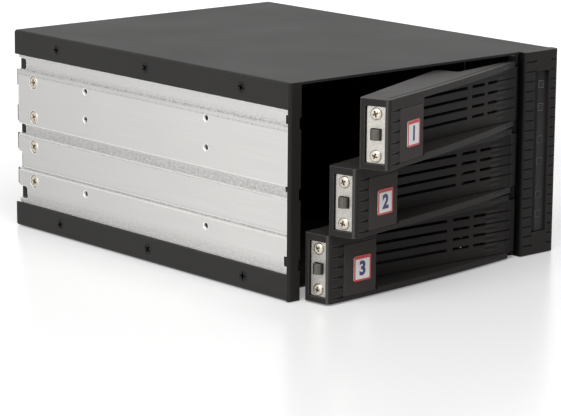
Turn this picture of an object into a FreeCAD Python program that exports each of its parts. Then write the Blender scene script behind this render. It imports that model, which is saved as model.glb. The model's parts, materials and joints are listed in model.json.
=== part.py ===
import FreeCAD, Part
import math
import os

os.makedirs("parts", exist_ok=True)

# Hot swap drive cage: three 3.5 inch drives without trays, in the room of two 5.25 inch bays.
# Millimetres. X runs left to right seen from the front, Y runs from the front to the back, Z is up.
# The origin is on the underside, in the middle of the width, in the plane of the shell's front edge.
# Each group gives the sizes that are set by themselves, then what is worked out from them.

# Shell
WIDTH = 146.0             # outside width of a 5.25 inch bay device
HEIGHT = 86.0             # outside height, two bays
SHELL_DEPTH = 179.5       # depth of the covers
SHEET = 1.0               # steel sheet of both covers
SHEET_BEND = 1.3          # outside radius of the cover bends
FLANGE_HEIGHT = 10.4      # height of the cover flanges down or up the sides
SEAT_GAP = 0.3            # gap left between parts that only lie side by side
HALF = WIDTH / 2
MID_Z = HEIGHT / 2
INSIDE_TOP = HEIGHT - SHEET

# Aluminium side panels
PANEL_THICK = 1.6         # behind the cover flanges
FACE_SINK = 0.15          # from the covers' sides in to the raised fields
GROOVE_SINK = 0.65        # and in to the recessed bands
PANEL_FRONT = 1.5         # front edge
PANEL_REST = 2.0          # from the rear edge to the covers' rear edge
BAND_BELOW = 2.4          # recessed band between the bays, below the middle height
BAND_ABOVE = 2.6          # and above it
LINE_LOW = 25.1           # narrow recessed line
LINE_HIGH = 26.7
SHOULDER_LOW = 15.0       # raised field starts here above a soft bend
SHOULDER_DOWN = 17.5      # raised field ends this far below the top
SOFT_STEP = 2.0           # height of the upper soft step
LOW_BEND = 3.0            # radius of the lower soft bend
HIGH_BEND = 1.0           # and of the two upper ones
FRONT_NOTCH_DEPTH = 1.7
NOTCH_CHAMFER = 0.8
PANEL_SEAT = HALF - SHEET
PANEL_INSIDE = PANEL_SEAT - PANEL_THICK
PANEL_FACE = HALF - FACE_SINK
PANEL_GROOVE = HALF - GROOVE_SINK
PANEL_REAR = SHELL_DEPTH - PANEL_REST
BAND_LOW = MID_Z - BAND_BELOW
BAND_HIGH = MID_Z + BAND_ABOVE
SHOULDER_HIGH = HEIGHT - SHOULDER_DOWN
FRONT_NOTCHES = ((HEIGHT - 16.1, HEIGHT - 12.6), (MID_Z + 0.2, MID_Z + 2.5), (13.8, 17.9))
REAR_NOTCHES = ((HEIGHT - 16.7, HEIGHT - 11.9, PANEL_REAR - 5.5),
                (MID_Z - 1.8, MID_Z + 2.4, PANEL_REAR - 4.9),
                (25.9, 33.2, PANEL_REAR - 2.9),
                (12.6, 18.1, PANEL_REAR - 5.8))

# Holes in the side panels for the screws of the computer case
MOUNT_HOLE = 3.0
MOUNT_Y = 50.6            # first column of holes
MOUNT_PITCH_Y = 79.25     # spacing of the two columns
MOUNT_Z = (21.7, HEIGHT - 32.4, HEIGHT - 20.5)

# Screws through the cover flanges
COVER_SCREW_HEAD = 5.4
COVER_SCREW_SHANK = 2.9
COVER_SCREW_LENGTH = 5.0
COVER_SCREW_REST = 29.9   # from the last screw of the top cover to its rear edge
TOP_SCREW_Y = 29.0
BOTTOM_SCREW_Y = 27.5
TOP_SCREW_DOWN = 5.3      # screws of the top cover below the top
BOTTOM_SCREW_Z = 5.4
COVER_SCREW_PITCH = (SHELL_DEPTH - TOP_SCREW_Y - COVER_SCREW_REST) / 2
TOP_SCREW_Z = HEIGHT - TOP_SCREW_DOWN

# Screws that hold the rear bracket to the side panels
PANEL_SCREW_REST = 11.2   # from the screws to the panel's rear edge
PANEL_SCREW_HEAD = 5.6
PANEL_SCREW_SHANK = 2.9
PANEL_SCREW_SINK = 0.95   # depth of the counterbore
PANEL_SCREW_LENGTH = 4.6
SCREW_CLEARANCE = 0.15    # round every shank
FLUSH_PLAY = 0.05         # round a flush head
SCREW_CROWN = 0.4         # how far a head slopes in over its height
SCREW_SIDES = 8           # flat sides that stand for a screw's round ones
PANEL_SCREW_Y = PANEL_REAR - PANEL_SCREW_REST
PANEL_SCREW_Z = (21.3, MID_Z - 6.5, MID_Z + 6.4, HEIGHT - 21.4)

# Left front post and right indicator column
POST_WIDTH = 5.8
POST_WRAP = 1.3           # how far the post reaches round the side
POST_TONGUE = 9.0         # depth of its tongue inside the shell
POST_CORNER = 1.2
COLUMN_WIDTH = 20.3
COLUMN_FRONT = -3.6
COLUMN_DEPTH = 10.0       # depth of the column behind the shell's front edge
COLUMN_WALL = 2.0
COLUMN_CORNER = 2.0
COLUMN_EASE = 0.6         # small chamfer beside the doors
GROOVE_COUNT = 20
GROOVE_PITCH = HEIGHT / (GROOVE_COUNT + 1)
GROOVE_WIDTH = 0.8
GROOVE_DEPTH = 0.5
GROOVE_MARGIN = 0.8       # from the edges of the column's fields to the ends of their grooves
STRIP_WIDTH = 8.7         # recess of the indicator strip
STRIP_ASIDE = 5.5         # from the recess to the right side
STRIP_LOW = 9.3
STRIP_DOWN = 8.4          # its upper end below the top
STRIP_SINK = 2.2
STRIP_THICK = 0.8
STRIP_GAP = 0.15          # round the strip in its recess
STRIP_FLOOR = 1.2         # wall behind the strip
LIGHT_ASIDE = 5.2         # from the recess's left side to the middle of the lights
LIGHT_SIZE = 3.3
LIGHT_GAP = 0.1
LED_BOARD_FRONT = 5.6
LED_SIZE = 2.8
LED_RISE = 1.2
POST_INNER = -HALF + POST_WIDTH
COLUMN_LEFT = HALF - COLUMN_WIDTH
STRIP_RIGHT = HALF - STRIP_ASIDE
STRIP_LEFT = STRIP_RIGHT - STRIP_WIDTH
STRIP_HIGH = HEIGHT - STRIP_DOWN
LIGHT_X = STRIP_LEFT + LIGHT_ASIDE
LIGHT_Z = (16.8, 25.0, MID_Z - 3.8, MID_Z + 5.4, HEIGHT - 23.9, HEIGHT - 14.3)

# Doors
DOOR_NAMES = ("lower", "middle", "upper")
DOOR_OPEN = (5.8, 12.0, 19.0)   # opening angles of the lower, middle and upper door as shown
DOOR_GAP = 0.8            # gap between two doors
DOOR_BOTTOM = 0.4
DOOR_TOP_GAP = 2.7        # from the upper door to the top of the cage
DOOR_SIDE_GAP = 1.2       # from the post to the free ends
DOOR_FRONT = -2.7         # front plane at both ends of a closed door
DOOR_BOW = 1.7            # how far the front bows out between the ends
DOOR_EDGE = 2.2           # rounded edge at the free end
DOOR_END_DEPTH = 12.7     # depth of the body at the free end
DOOR_BACK_DEPTH = 17.4    # depth of the body at the end of its rear block
BLOCK_LENGTH = 74.0       # the rear block, from the free end
BLOCK_ROUND = 4.0         # rounding of its rear corner
BLOCK_FILLET = 1.5        # and where it meets the grille
END_ROUND = 1.2           # rounding of the free end's rear corner
DOOR_LIP = 2.55           # height of the upper and lower lips
LINE_BEHIND = 2.3         # fine line on the upper face, behind the front
LINE_WIDTH = 0.4
LINE_DEPTH = 0.3
BARREL_RADIUS = 2.9
HINGE_ASIDE = 4.0         # from the hinge axis to the column
HINGE_PIN = 2.0
HINGE_PLAY = 0.08         # running clearance round the pin
PIN_FIT = 0.02            # clearance of the pin in its lugs
PIN_FLOOR = 0.5           # wall of the lowest lug under the pin
LUG_HALF = 2.4            # half height of a hinge lug
LUG_GAP = 0.35            # gap between a lug and a door barrel
LUG_END_GAP = 0.1         # from the outer lugs to the covers
LUG_RADIUS = 2.6
LUG_SIDES = 12            # flat sides that stand for a lug's round one
LUG_ARM = 0.6             # front of a lug's arm before the hinge axis
LUG_BITE = 0.5            # how far the arm reaches into the column
NOTCH_ASIDE = 0.6         # room for a lug beside the barrel
GRIP_WIDTH = 26.7         # grip block, from the free end
SCOOP_SLOPE = 0.15        # slant of the grille against the door front
SCOOP_ASIDE = 5.7         # from where the grille reaches the front plane to the hinge axis
GRILLE_WALL = 2.1
WALL_ASIDE = 1.0          # end of the grille's rear wall beside the hinge axis
SLOT_HEIGHT = 1.2
SLOT_ROWS = 4
SLOT_START = 2.2          # from the grip block to the first slot
SLOT_ENDS = (37.4, 34.2, 25.3, 23.1, 16.1)   # the other ends of the three slots, from the hinge axis
FINE_GROOVE_ASIDE = 1.5   # end of the fine grooves, from the hinge axis
FINE_GROOVE_HEIGHT = 0.6
FINE_GROOVE_DEPTH = 0.45
GRIP_GROOVES = 6
DOOR_GROOVE_LOW = 1.95    # lowest groove of the grip above the door's underside
DOOR_PITCH = (HEIGHT - DOOR_BOTTOM - DOOR_TOP_GAP + DOOR_GAP) / 3
DOOR_HEIGHT = DOOR_PITCH - DOOR_GAP
DOOR_LEFT = POST_INNER + DOOR_SIDE_GAP
DOOR_BLOCK_END = DOOR_LEFT + BLOCK_LENGTH
HINGE_X = COLUMN_LEFT - HINGE_ASIDE
HINGE_Y = DOOR_FRONT + BARREL_RADIUS
GRIP_RIGHT = DOOR_LEFT + GRIP_WIDTH
SCOOP_END = HINGE_X - SCOOP_ASIDE
FINE_GROOVE_END = HINGE_X - FINE_GROOVE_ASIDE
SLOT_PLACES = (GRIP_RIGHT + SLOT_START,) + tuple(HINGE_X - aside for aside in SLOT_ENDS)
SLOT_SPANS = (SLOT_PLACES[0:2], SLOT_PLACES[2:4], SLOT_PLACES[4:6])

# Grip panel and its number plate
PANEL_GRIP_START = 8.4    # from the free end to the panel
PANEL_GRIP_THICK = 2.4
PANEL_GRIP_ROUND = 0.6    # rounding beside the grille
LABEL_START = 13.8        # from the free end to the label
LABEL_WIDTH = 9.4
LABEL_LOW = 6.9
LABEL_HIGH = 17.0
LABEL_THICK = 0.25
LABEL_CORNER = 0.6
PANEL_GRIP_LEFT = DOOR_LEFT + PANEL_GRIP_START
LABEL_LEFT = DOOR_LEFT + LABEL_START
LABEL_RIGHT = LABEL_LEFT + LABEL_WIDTH

# End plate of a door
END_PLATE_THICK = 1.2
END_PLATE_SINK = 0.8
END_PLATE_FRONT = 1.7     # from the door front to the front edge of the plate's recess
END_PLATE_BACK = 10.3
END_PLATE_LOW = 2.3
END_PLATE_DOWN = 2.8      # its upper edge below the top of the door
END_PLATE_CORNER = 0.5
END_PLATE_GAP = 0.1       # round the plate in its recess
END_PLATE_SHORT = 0.5     # wider gap behind it
END_SCREW_DEPTH = 5.8     # from the door front to the screws and the catch
END_SCREW_LOW = 5.2
END_SCREW_DOWN = 5.7      # upper screw below the top of the door
END_SCREW_HEAD = 4.8
END_SCREW_RISE = 1.0
END_SCREW_SHANK = 2.4
END_SCREW_LENGTH = 3.7
END_PLATE_HIGH = DOOR_HEIGHT - END_PLATE_DOWN
END_SCREW_Z = (END_SCREW_LOW, DOOR_HEIGHT - END_SCREW_DOWN)

# Spring catch of a door
CATCH_WIDTH = 4.1         # front to back
CATCH_HEIGHT = 4.0
CATCH_REACH = 1.7         # how far the nose stands out of the free end
CATCH_PLAY = 0.12
CATCH_SHOULDER = 1.4      # shoulder larger than the nose, above, below and behind
SHOULDER_FRONT = 0.5      # and in front
SHOULDER_PLAY = 0.05      # between the shoulder and the end wall
NOSE_ROUND = 0.95         # rounding of the nose over its half width
CATCH_SHOULDER_THICK = 1.2
END_WALL = 5.0            # wall of the door body at the free end
GRIP_FACE = 2.8           # wall behind the grip's front
GRIP_WALL = 2.0           # wall between the grip box and the grille
HINGE_WEB = 0.6           # from the barrel to the hollow behind the grille
WEB_BEHIND = 4.2          # spring seat behind the catch's middle
SPRING_WIRE = 0.5
SPRING_SECTION = 0.9      # side of the wire's square section over its diameter
SPRING_RADIUS = 1.7
SPRING_TURNS = 4
SPRING_SIDES = 6          # straight stretches in one turn
SPRING_LENGTH = 9.0
STEM_WIDTH = 1.6
SPRING_SEAT = 2.0
POCKET_GAP = 0.35

# Backplane
BOARD_THICK = 1.6
BOARD_MARGIN = 3.9        # from the board to the side panels
BOARD_LOW = 4.0
SOCKET_LENGTH = 42.0
SOCKET_HEIGHT = 5.4
SOCKET_DEPTH = 8.0
SOCKET_START = 33.0       # from the bay's left side to the middle of a socket
SOCKET_RISE = 6.4         # centre of a drive socket above the bay floor
SOCKET_WALL = 2.5         # at both ends of a socket
SOCKET_FLOOR = 2.0        # behind its openings
CONTACT_LENGTH = 11.0     # opening for the data contacts
CONTACT_WEB = 2.0         # web between its two openings
CONTACT_HEIGHT = 2.0
AIR_WINDOW = 16.0         # square window between the sockets and the ports
WINDOW_RISE = 4.0         # from a socket to the window above it
PORT_ASIDE = 10.7         # from the middle pillars to the data ports
PORT_LENGTH = 14.4
PORT_WIDTH = 5.6
DATA_TONGUE = 1.2
DATA_SLOT = 11.0
PORT_OUT = 1.5            # how far the ports stand out of the rear wall
POWER_ASIDE = 18.0        # from the data ports to the power ports
POWER_LENGTH = 21.0
POWER_WIDTH = 9.6
POWER_APART = 27.6        # between the middles of the two power ports
POWER_PITCH = 5.08        # spacing of the four contacts
POWER_PIN = 1.8           # half width of a contact's opening
PORT_BORE = 6.5           # depth of the openings in the ports
PORT_ROOM = 63.0          # width of the board that the ports and all pillars need beside the fan

# Pillars and screws of the backplane
PILLAR_WIDTH = 5.6        # across the corners
PILLAR_INSET = 4.5        # from the board's side edges
PILLAR_RISE = 5.0         # from its upper and lower edges
PILLAR_BORE = 6.0         # depth of the screw hole
BOARD_SCREW_HEAD = 5.2
BOARD_SCREW_RISE = 1.6
BOARD_SCREW_SHANK = 2.4
BOARD_SCREW_LENGTH = 5.6

# Fan, as large as the height and the ports beside it allow
FAN_COVER_GAP = 7.0       # from the fan to the covers
FAN_PILLAR_GAP = 3.2      # from the left pillars to the fan
FAN_THICK = 10.0
FAN_HOLE_INSET = 5.0      # from the frame's edges to the middles of its holes
FAN_BORE_WALL = 1.5       # thinnest place of the frame beside the duct
FAN_CHAMFER = 2.0
HUB_RADIUS = 15.0
BLADE_TIP_GAP = 1.9
BLADE_ROOT = 2.0          # how far a blade reaches into the hub
BLADE_COUNT = 7
BLADE_THICK = 1.0
BLADE_CHORD = 12.5
BLADE_CAMBER = 1.8        # how far a blade bows between its edges
BLADE_PITCH = 30.0
FAN_SHAFT = 3.0
FAN_SHAFT_PLAY = 0.05
FAN_HOLE = 4.3
STRUT_WIDTH = 2.4
BASE_THICK = 1.6
BASE_RIM = 0.5            # motor base larger than the hub
ROTOR_GAP = 0.5
VENT_RIM = 0.5            # from the circle of the rear wall's slots to the duct's wall
VENT_SLOT = 4.2
VENT_PITCH = 6.0
VENT_SHORT = 0.6          # least distance from an outer slot to the circle's top or bottom
VENT_WEB = 2.4
FAN_SCREW_HEAD = 6.8
FAN_SCREW_RISE = 1.6
FAN_SCREW_SHANK = 3.9
FAN_SCREW_LENGTH = 9.0

# Drive bays
DRIVE_WIDTH = 101.6
DRIVE_SIDE_GAP = 0.2
SHELF_THICK = 1.2
BAY_FRONT = 15.5
RAIL_SEAT = 3.2           # plate of the left rail on the side panel
RAIL_PLATE = 1.2          # plate of the right rail
RAIL_REST = 9.6           # from the rails to the board
RAIL_SHELF = 4.0          # how far the rail shelves reach under a drive
RAIL_LEAD = 5.0           # tapered lead-in at the front of each shelf
RAIL_WINDOW = 5.0         # square windows behind the panel's holes
DIVIDER_THICK = 1.0
DIVIDER_FLANGE = 8.0
DIVIDER_BEND = 1.2
DIVIDER_REST = 7.6        # from the divider to the board
BAY_HEIGHT = (HEIGHT - 2 * SHEET - 4 * SHELF_THICK) / 3
BAY_PITCH = BAY_HEIGHT + SHELF_THICK
BAY_LEFT = -PANEL_INSIDE + RAIL_SEAT + DRIVE_SIDE_GAP
BAY_RIGHT = BAY_LEFT + DRIVE_WIDTH + 2 * DRIVE_SIDE_GAP

# Rear bracket
BRACKET_SHEET = 1.0
BRACKET_SIDE = 17.5       # length of its side flanges before the rear wall
BRACKET_LOW = 8.0
EAR_HEIGHT = 6.9
EAR_OUT = 2.0             # how far the ears stand out behind the covers
PORT_GAP = 0.4
EAR_Z = (21.5, MID_Z - 6.0, MID_Z + 6.3, HEIGHT - 21.0)
EAR_REAR = SHELL_DEPTH + EAR_OUT
BRACKET_WALL = PANEL_REAR
BRACKET_HIGH = HEIGHT - BRACKET_LOW

# Places along the depth and across the backplane
BOARD_REAR = BRACKET_WALL - FAN_THICK - SEAT_GAP
BOARD_FRONT = BOARD_REAR - BOARD_THICK
RAIL_REAR = BOARD_FRONT - RAIL_REST
DIVIDER_REAR = BOARD_FRONT - DIVIDER_REST
BOARD_RIGHT = PANEL_INSIDE - BOARD_MARGIN
BOARD_LEFT = -BOARD_RIGHT
BOARD_HIGH = HEIGHT - BOARD_LOW
FAN_SIZE = min(HEIGHT - 2 * (SHEET + FAN_COVER_GAP), BOARD_RIGHT - BOARD_LEFT - PORT_ROOM)
FAN_X = BOARD_LEFT + PILLAR_INSET + PILLAR_WIDTH / 2 + FAN_PILLAR_GAP + FAN_SIZE / 2
FAN_HOLES = FAN_SIZE - 2 * FAN_HOLE_INSET
FAN_BORE = FAN_SIZE - 2 * FAN_BORE_WALL
BLADE_TIP = FAN_BORE / 2 - BLADE_TIP_GAP
VENT_RADIUS = FAN_BORE / 2 - VENT_RIM
VENT_ROWS = int((VENT_RADIUS - VENT_SLOT / 2 - VENT_SHORT) / VENT_PITCH)
PILLAR_X = FAN_X + FAN_SIZE / 2 + PILLAR_WIDTH / 2 + PILLAR_INSET
PORT_X = PILLAR_X + PORT_ASIDE
POWER_X = PORT_X + POWER_ASIDE
POWER_Z = (MID_Z - POWER_APART / 2, MID_Z + POWER_APART / 2)
SOCKET_X = BAY_LEFT + SOCKET_START
OVER = 1.0                # how far a cutting tool runs out of the piece it cuts


def vec(x, y, z):
    return FreeCAD.Vector(x, y, z)


def block(x0, x1, y0, y1, z0, z1):
    return Part.makeBox(x1 - x0, y1 - y0, z1 - z0, vec(x0, y0, z0))


def rod(x, y, z, radius, length, axis):
    return Part.makeCylinder(radius, length, vec(x, y, z), axis)


X_AXIS = vec(1, 0, 0)
Y_AXIS = vec(0, 1, 0)
Z_AXIS = vec(0, 0, 1)


def faceted(place, axis, stations, sides=SCREW_SIDES):
    """Turned form drawn with flat sides, through stations of (distance along the axis, radius)."""
    across = X_AXIS if abs(axis.x) < 0.5 else Y_AXIS
    upward = axis.cross(across)
    rings = []
    for along, radius in stations:
        ring = []
        for k in range(sides):
            turn = 2 * math.pi * (k + 0.5) / sides
            ring.append(place + axis * along + across * (radius * math.cos(turn))
                        + upward * (radius * math.sin(turn)))
        rings.append(ring)
    faces = [Part.Face(Part.makePolygon(ring + ring[:1])) for ring in (rings[0], rings[-1])]
    for near, far in zip(rings, rings[1:]):
        for k in range(sides):
            n = (k + 1) % sides
            faces.append(Part.Face(Part.makePolygon([near[k], near[n], far[n], far[k], near[k]])))
    solid = Part.Solid(Part.Shell(faces))
    if solid.Volume < 0:
        solid.reverse()
    return solid


def on_plane(axis, level, a, b):
    """Point in a plane square to an axis: (y, z), (x, z) or (x, y) are given as a, b."""
    if axis == "x":
        return vec(level, a, b)
    if axis == "y":
        return vec(a, level, b)
    return vec(a, b, level)


def round_corner(a, b, radius, start, steps=3):
    """Quarter round drawn with a few chords: corners about the centre (a, b) from an angle in degrees."""
    turns = [math.radians(start + 90.0 * k / steps) for k in range(steps + 1)]
    return [(a + radius * math.cos(turn), b + radius * math.sin(turn)) for turn in turns]


def loop(corners, axis="z", level=0.0):
    """Closed wire through corners (a, b), (a, b, radius) or (a, b, radius, via).

    A radius rounds the corner. A via point makes the edge to the next corner an arc through it.
    """
    count = len(corners)
    starts = []
    ends = []
    edges = []
    for i, corner in enumerate(corners):
        a = vec(corner[0], corner[1], 0)
        radius = corner[2] if len(corner) > 2 else 0.0
        if radius <= 0:
            starts.append(a)
            ends.append(a)
            edges.append(None)
            continue
        before = corners[i - 1]
        after = corners[(i + 1) % count]
        u = (vec(before[0], before[1], 0) - a).normalize()
        w = (vec(after[0], after[1], 0) - a).normalize()
        half = math.acos(max(-1.0, min(1.0, u.dot(w)))) / 2
        reach = radius / math.tan(half)
        bisector = (u + w).normalize()
        centre = a + bisector * (radius / math.sin(half))
        starts.append(a + u * reach)
        ends.append(a + w * reach)
        edges.append(centre - bisector * radius)
    parts = []
    for i in range(count):
        nxt = (i + 1) % count
        if edges[i] is not None:
            parts.append((starts[i], edges[i], ends[i]))
        via = corners[i][3] if len(corners[i]) > 3 else None
        if (ends[i] - starts[nxt]).Length > 1e-6:
            parts.append((ends[i], vec(via[0], via[1], 0) if via else None, starts[nxt]))
    made = []
    for start, middle, end in parts:
        p0 = on_plane(axis, level, start.x, start.y)
        p2 = on_plane(axis, level, end.x, end.y)
        if middle is None:
            made.append(Part.makeLine(p0, p2))
        else:
            made.append(Part.Arc(p0, on_plane(axis, level, middle.x, middle.y), p2).toShape())
    return Part.Wire(made)


def slab(corners, axis, low, high):
    """Closed outline pushed along an axis from low to high."""
    face = Part.Face(loop(corners, axis, low))
    push = {"x": X_AXIS, "y": Y_AXIS, "z": Z_AXIS}[axis] * (high - low)
    return face.extrude(push)


def cut_corners(a0, a1, b0, b1, cut):
    """Rectangle with its four corners chamfered."""
    return [(a0 + cut, b0), (a1 - cut, b0), (a1, b0 + cut), (a1, b1 - cut),
            (a1 - cut, b1), (a0 + cut, b1), (a0, b1 - cut), (a0, b0 + cut)]


def cut_all(shape, tools):
    if tools:
        shape = shape.cut(Part.makeCompound(tools))
    return shape


def fuse_all(shapes):
    shape = shapes[0].multiFuse(shapes[1:]) if len(shapes) > 1 else shapes[0]
    return shape.removeSplitter()


def save(shape, name):
    solids = shape.Solids
    out = solids[0] if len(solids) == 1 else Part.makeCompound(solids)
    out.exportStep("parts/" + name + ".step")


def mirror_x(shape):
    return shape.mirror(vec(0, 0, 0), X_AXIS)


def bay_floor(index):
    """Underside of a drive in bay 0, 1 or 2, counted from below."""
    return MID_Z + (index - 1) * BAY_PITCH - BAY_HEIGHT / 2


def top_screw_ys():
    return [TOP_SCREW_Y + i * COVER_SCREW_PITCH for i in range(3)]


def bottom_screw_ys():
    return [BOTTOM_SCREW_Y + i * COVER_SCREW_PITCH for i in range(3)]


# Covers

def cover_channel(flip):
    """Bent steel cover: flip False gives the top one, True the bottom one, cut away for the lower door."""
    outer = HALF
    inner = HALF - SHEET
    inner_bend = SHEET_BEND - SHEET
    edge = HEIGHT - FLANGE_HEIGHT
    profile = [(-outer, edge), (-outer, HEIGHT, SHEET_BEND), (outer, HEIGHT, SHEET_BEND), (outer, edge),
               (inner, edge), (inner, INSIDE_TOP, inner_bend), (-inner, INSIDE_TOP, inner_bend),
               (-inner, edge)]
    if flip:
        profile = [(c[0], HEIGHT - c[1]) + tuple(c[2:]) for c in profile]
    cover = slab(profile, "y", 0.0, SHELL_DEPTH)
    gap = SEAT_GAP / 3
    tools = [block(-outer - OVER, POST_INNER + gap, -OVER, POST_WRAP + gap, -OVER, HEIGHT + OVER),
             block(COLUMN_LEFT - gap, outer + OVER, -OVER, POST_WRAP + gap, -OVER, HEIGHT + OVER)]
    if flip:
        tools.append(block(POST_INNER, COLUMN_LEFT, -OVER, BAY_FRONT - SEAT_GAP, -OVER, 2 * SHEET))
    ys = bottom_screw_ys() if flip else top_screw_ys()
    z = BOTTOM_SCREW_Z if flip else TOP_SCREW_Z
    for y in ys:
        tools.append(countersink(-HALF, y, z, 1))
        tools.append(countersink(HALF, y, z, -1))
    return cut_all(cover, tools)


def countersink(x, y, z, inward):
    """Conical seat for a flush screw, cut from the side face inward."""
    head = COVER_SCREW_HEAD / 2
    shank = COVER_SCREW_SHANK / 2 + SCREW_CLEARANCE
    return faceted(vec(x, y, z), vec(inward, 0, 0), ((0, head), (SHEET, shank), (2 * SHEET, shank)))


def shank_hole(x, y, z, shank, length):
    """Clearance hole for a screw along X."""
    radius = shank / 2 + SCREW_CLEARANCE
    return faceted(vec(x, y, z), X_AXIS, ((0, radius), (length, radius)))


def flush_screw(x, y, z, inward):
    head = COVER_SCREW_HEAD / 2 - FLUSH_PLAY
    shank = COVER_SCREW_SHANK / 2
    return faceted(vec(x, y, z), vec(inward, 0, 0), ((0, head), (SHEET, shank), (COVER_SCREW_LENGTH, shank)))


def pan_screw(place, axis, head, rise, shank, length):
    """Screw with a low round head seated at a place, and its shank going along the axis."""
    crown = rise * SCREW_CROWN
    half = head / 2
    return faceted(place, axis, ((-rise, half - crown), (0, half), (0, shank / 2), (length, shank / 2)))


def cover_screws():
    screws = []
    for y in top_screw_ys():
        screws.append(flush_screw(-HALF, y, TOP_SCREW_Z, 1))
        screws.append(flush_screw(HALF, y, TOP_SCREW_Z, -1))
    for y in bottom_screw_ys():
        screws.append(flush_screw(-HALF, y, BOTTOM_SCREW_Z, 1))
        screws.append(flush_screw(HALF, y, BOTTOM_SCREW_Z, -1))
    return Part.makeCompound(screws)


# Side panels

def side_panel():
    """Extruded aluminium panel of the left side, with its stepped outer face."""
    lap = FLANGE_HEIGHT + SEAT_GAP
    top_lap = HEIGHT - lap
    ease = SHEET_BEND - SHEET + FLUSH_PLAY
    profile = [(-PANEL_INSIDE, SHEET), (ease - PANEL_SEAT, SHEET), (-PANEL_SEAT, SHEET + ease),
               (-PANEL_SEAT, lap), (-PANEL_GROOVE, lap),
               (-PANEL_FACE, SHOULDER_LOW, LOW_BEND), (-PANEL_FACE, LINE_LOW), (-PANEL_GROOVE, LINE_LOW),
               (-PANEL_GROOVE, LINE_HIGH), (-PANEL_FACE, LINE_HIGH), (-PANEL_FACE, BAND_LOW),
               (-PANEL_GROOVE, BAND_LOW), (-PANEL_GROOVE, BAND_HIGH), (-PANEL_FACE, BAND_HIGH),
               (-PANEL_FACE, SHOULDER_HIGH, HIGH_BEND), (-PANEL_GROOVE, SHOULDER_HIGH + SOFT_STEP, HIGH_BEND),
               (-PANEL_GROOVE, top_lap), (-PANEL_SEAT, top_lap), (-PANEL_SEAT, INSIDE_TOP - ease),
               (ease - PANEL_SEAT, INSIDE_TOP), (-PANEL_INSIDE, INSIDE_TOP)]
    panel = slab(profile, "y", PANEL_FRONT, PANEL_REAR)
    tools = []
    x0 = -HALF - OVER
    x1 = -PANEL_INSIDE + OVER
    for low, high in FRONT_NOTCHES:
        tools.append(block(x0, x1, PANEL_FRONT - OVER, PANEL_FRONT + FRONT_NOTCH_DEPTH, low, high))
    for low, high, start in REAR_NOTCHES:
        corners = [(start, low + NOTCH_CHAMFER), (start + NOTCH_CHAMFER, low), (PANEL_REAR + OVER, low),
                   (PANEL_REAR + OVER, high), (start + NOTCH_CHAMFER, high), (start, high - NOTCH_CHAMFER)]
        tools.append(slab(corners, "x", x0, x1))
    for y in (MOUNT_Y, MOUNT_Y + MOUNT_PITCH_Y):
        for z in MOUNT_Z:
            tools.append(rod(x0, y, z, MOUNT_HOLE / 2, x1 - x0, X_AXIS))
    shank = PANEL_SCREW_SHANK / 2 + SCREW_CLEARANCE
    sunk = PANEL_SCREW_HEAD / 2 + SCREW_CLEARANCE
    sink = PANEL_SCREW_SINK - HALF - x0
    for z in PANEL_SCREW_Z:
        tools.append(faceted(vec(x0, PANEL_SCREW_Y, z), X_AXIS,
                             ((0, sunk), (sink, sunk), (sink, shank), (x1 - x0, shank))))
    for y in top_screw_ys():
        tools.append(shank_hole(x0, y, TOP_SCREW_Z, COVER_SCREW_SHANK, x1 - x0))
    for y in bottom_screw_ys():
        tools.append(shank_hole(x0, y, BOTTOM_SCREW_Z, COVER_SCREW_SHANK, x1 - x0))
    return cut_all(panel, tools)


def panel_screws():
    screws = []
    seat = HALF - PANEL_SCREW_SINK
    for z in PANEL_SCREW_Z:
        left = pan_screw(vec(-seat, PANEL_SCREW_Y, z), X_AXIS, PANEL_SCREW_HEAD, PANEL_SCREW_SINK,
                         PANEL_SCREW_SHANK, PANEL_SCREW_LENGTH)
        screws.append(left)
        screws.append(mirror_x(left))
    return Part.makeCompound(screws)


# Front post and indicator column

def catch_z(index):
    return DOOR_BOTTOM + index * DOOR_PITCH + DOOR_HEIGHT / 2


def front_post():
    """Left post: face, skirt round the side, tongue inside the panel and notches for the catches."""
    face = slab([(-HALF, 0.0, POST_CORNER), (POST_INNER, 0.0), (POST_INNER, POST_WRAP), (-HALF, POST_WRAP)],
                "z", 0.0, HEIGHT)
    tongue = block(-PANEL_INSIDE, POST_INNER, POST_WRAP, POST_TONGUE, SHEET, INSIDE_TOP)
    tabs = []
    for low, high in FRONT_NOTCHES:
        tab = SEAT_GAP / 2
        reach = PANEL_FRONT + FRONT_NOTCH_DEPTH - tab
        tabs.append(block(-PANEL_GROOVE, -PANEL_INSIDE, POST_WRAP, reach, low + tab, high - tab))
    post = fuse_all([face, tongue] + tabs)
    depth = DOOR_FRONT + END_SCREW_DEPTH + CATCH_WIDTH / 2 + POCKET_GAP
    rise = CATCH_HEIGHT / 2 + POCKET_GAP
    left = DOOR_LEFT - CATCH_REACH - POCKET_GAP
    tools = [block(left, POST_INNER + OVER, -OVER, depth, catch_z(index) - rise, catch_z(index) + rise)
             for index in range(3)]
    return cut_all(post, tools)


def column_grooves():
    """Short level grooves: the left ones end in the strip's recess, the right ones round the side."""
    tools = []
    deep = COLUMN_FRONT + GROOVE_DEPTH
    for k in range(1, GROOVE_COUNT + 1):
        low = k * GROOVE_PITCH - GROOVE_WIDTH / 2
        high = low + GROOVE_WIDTH
        tools.append(block(COLUMN_LEFT + GROOVE_MARGIN, STRIP_LEFT + GROOVE_MARGIN, COLUMN_FRONT - OVER, deep,
                           low, high))
        tools.append(block(STRIP_RIGHT + GROOVE_MARGIN, HALF + OVER, COLUMN_FRONT - OVER, deep, low, high))
    return tools


def lug_span(index):
    """Lowest and highest level of hinge lug 0 to 3."""
    seam = DOOR_BOTTOM - DOOR_GAP / 2 + index * DOOR_PITCH
    low = max(seam - LUG_HALF, SHEET + LUG_END_GAP)
    high = min(seam + LUG_HALF, INSIDE_TOP - LUG_END_GAP)
    return low, high


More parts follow.
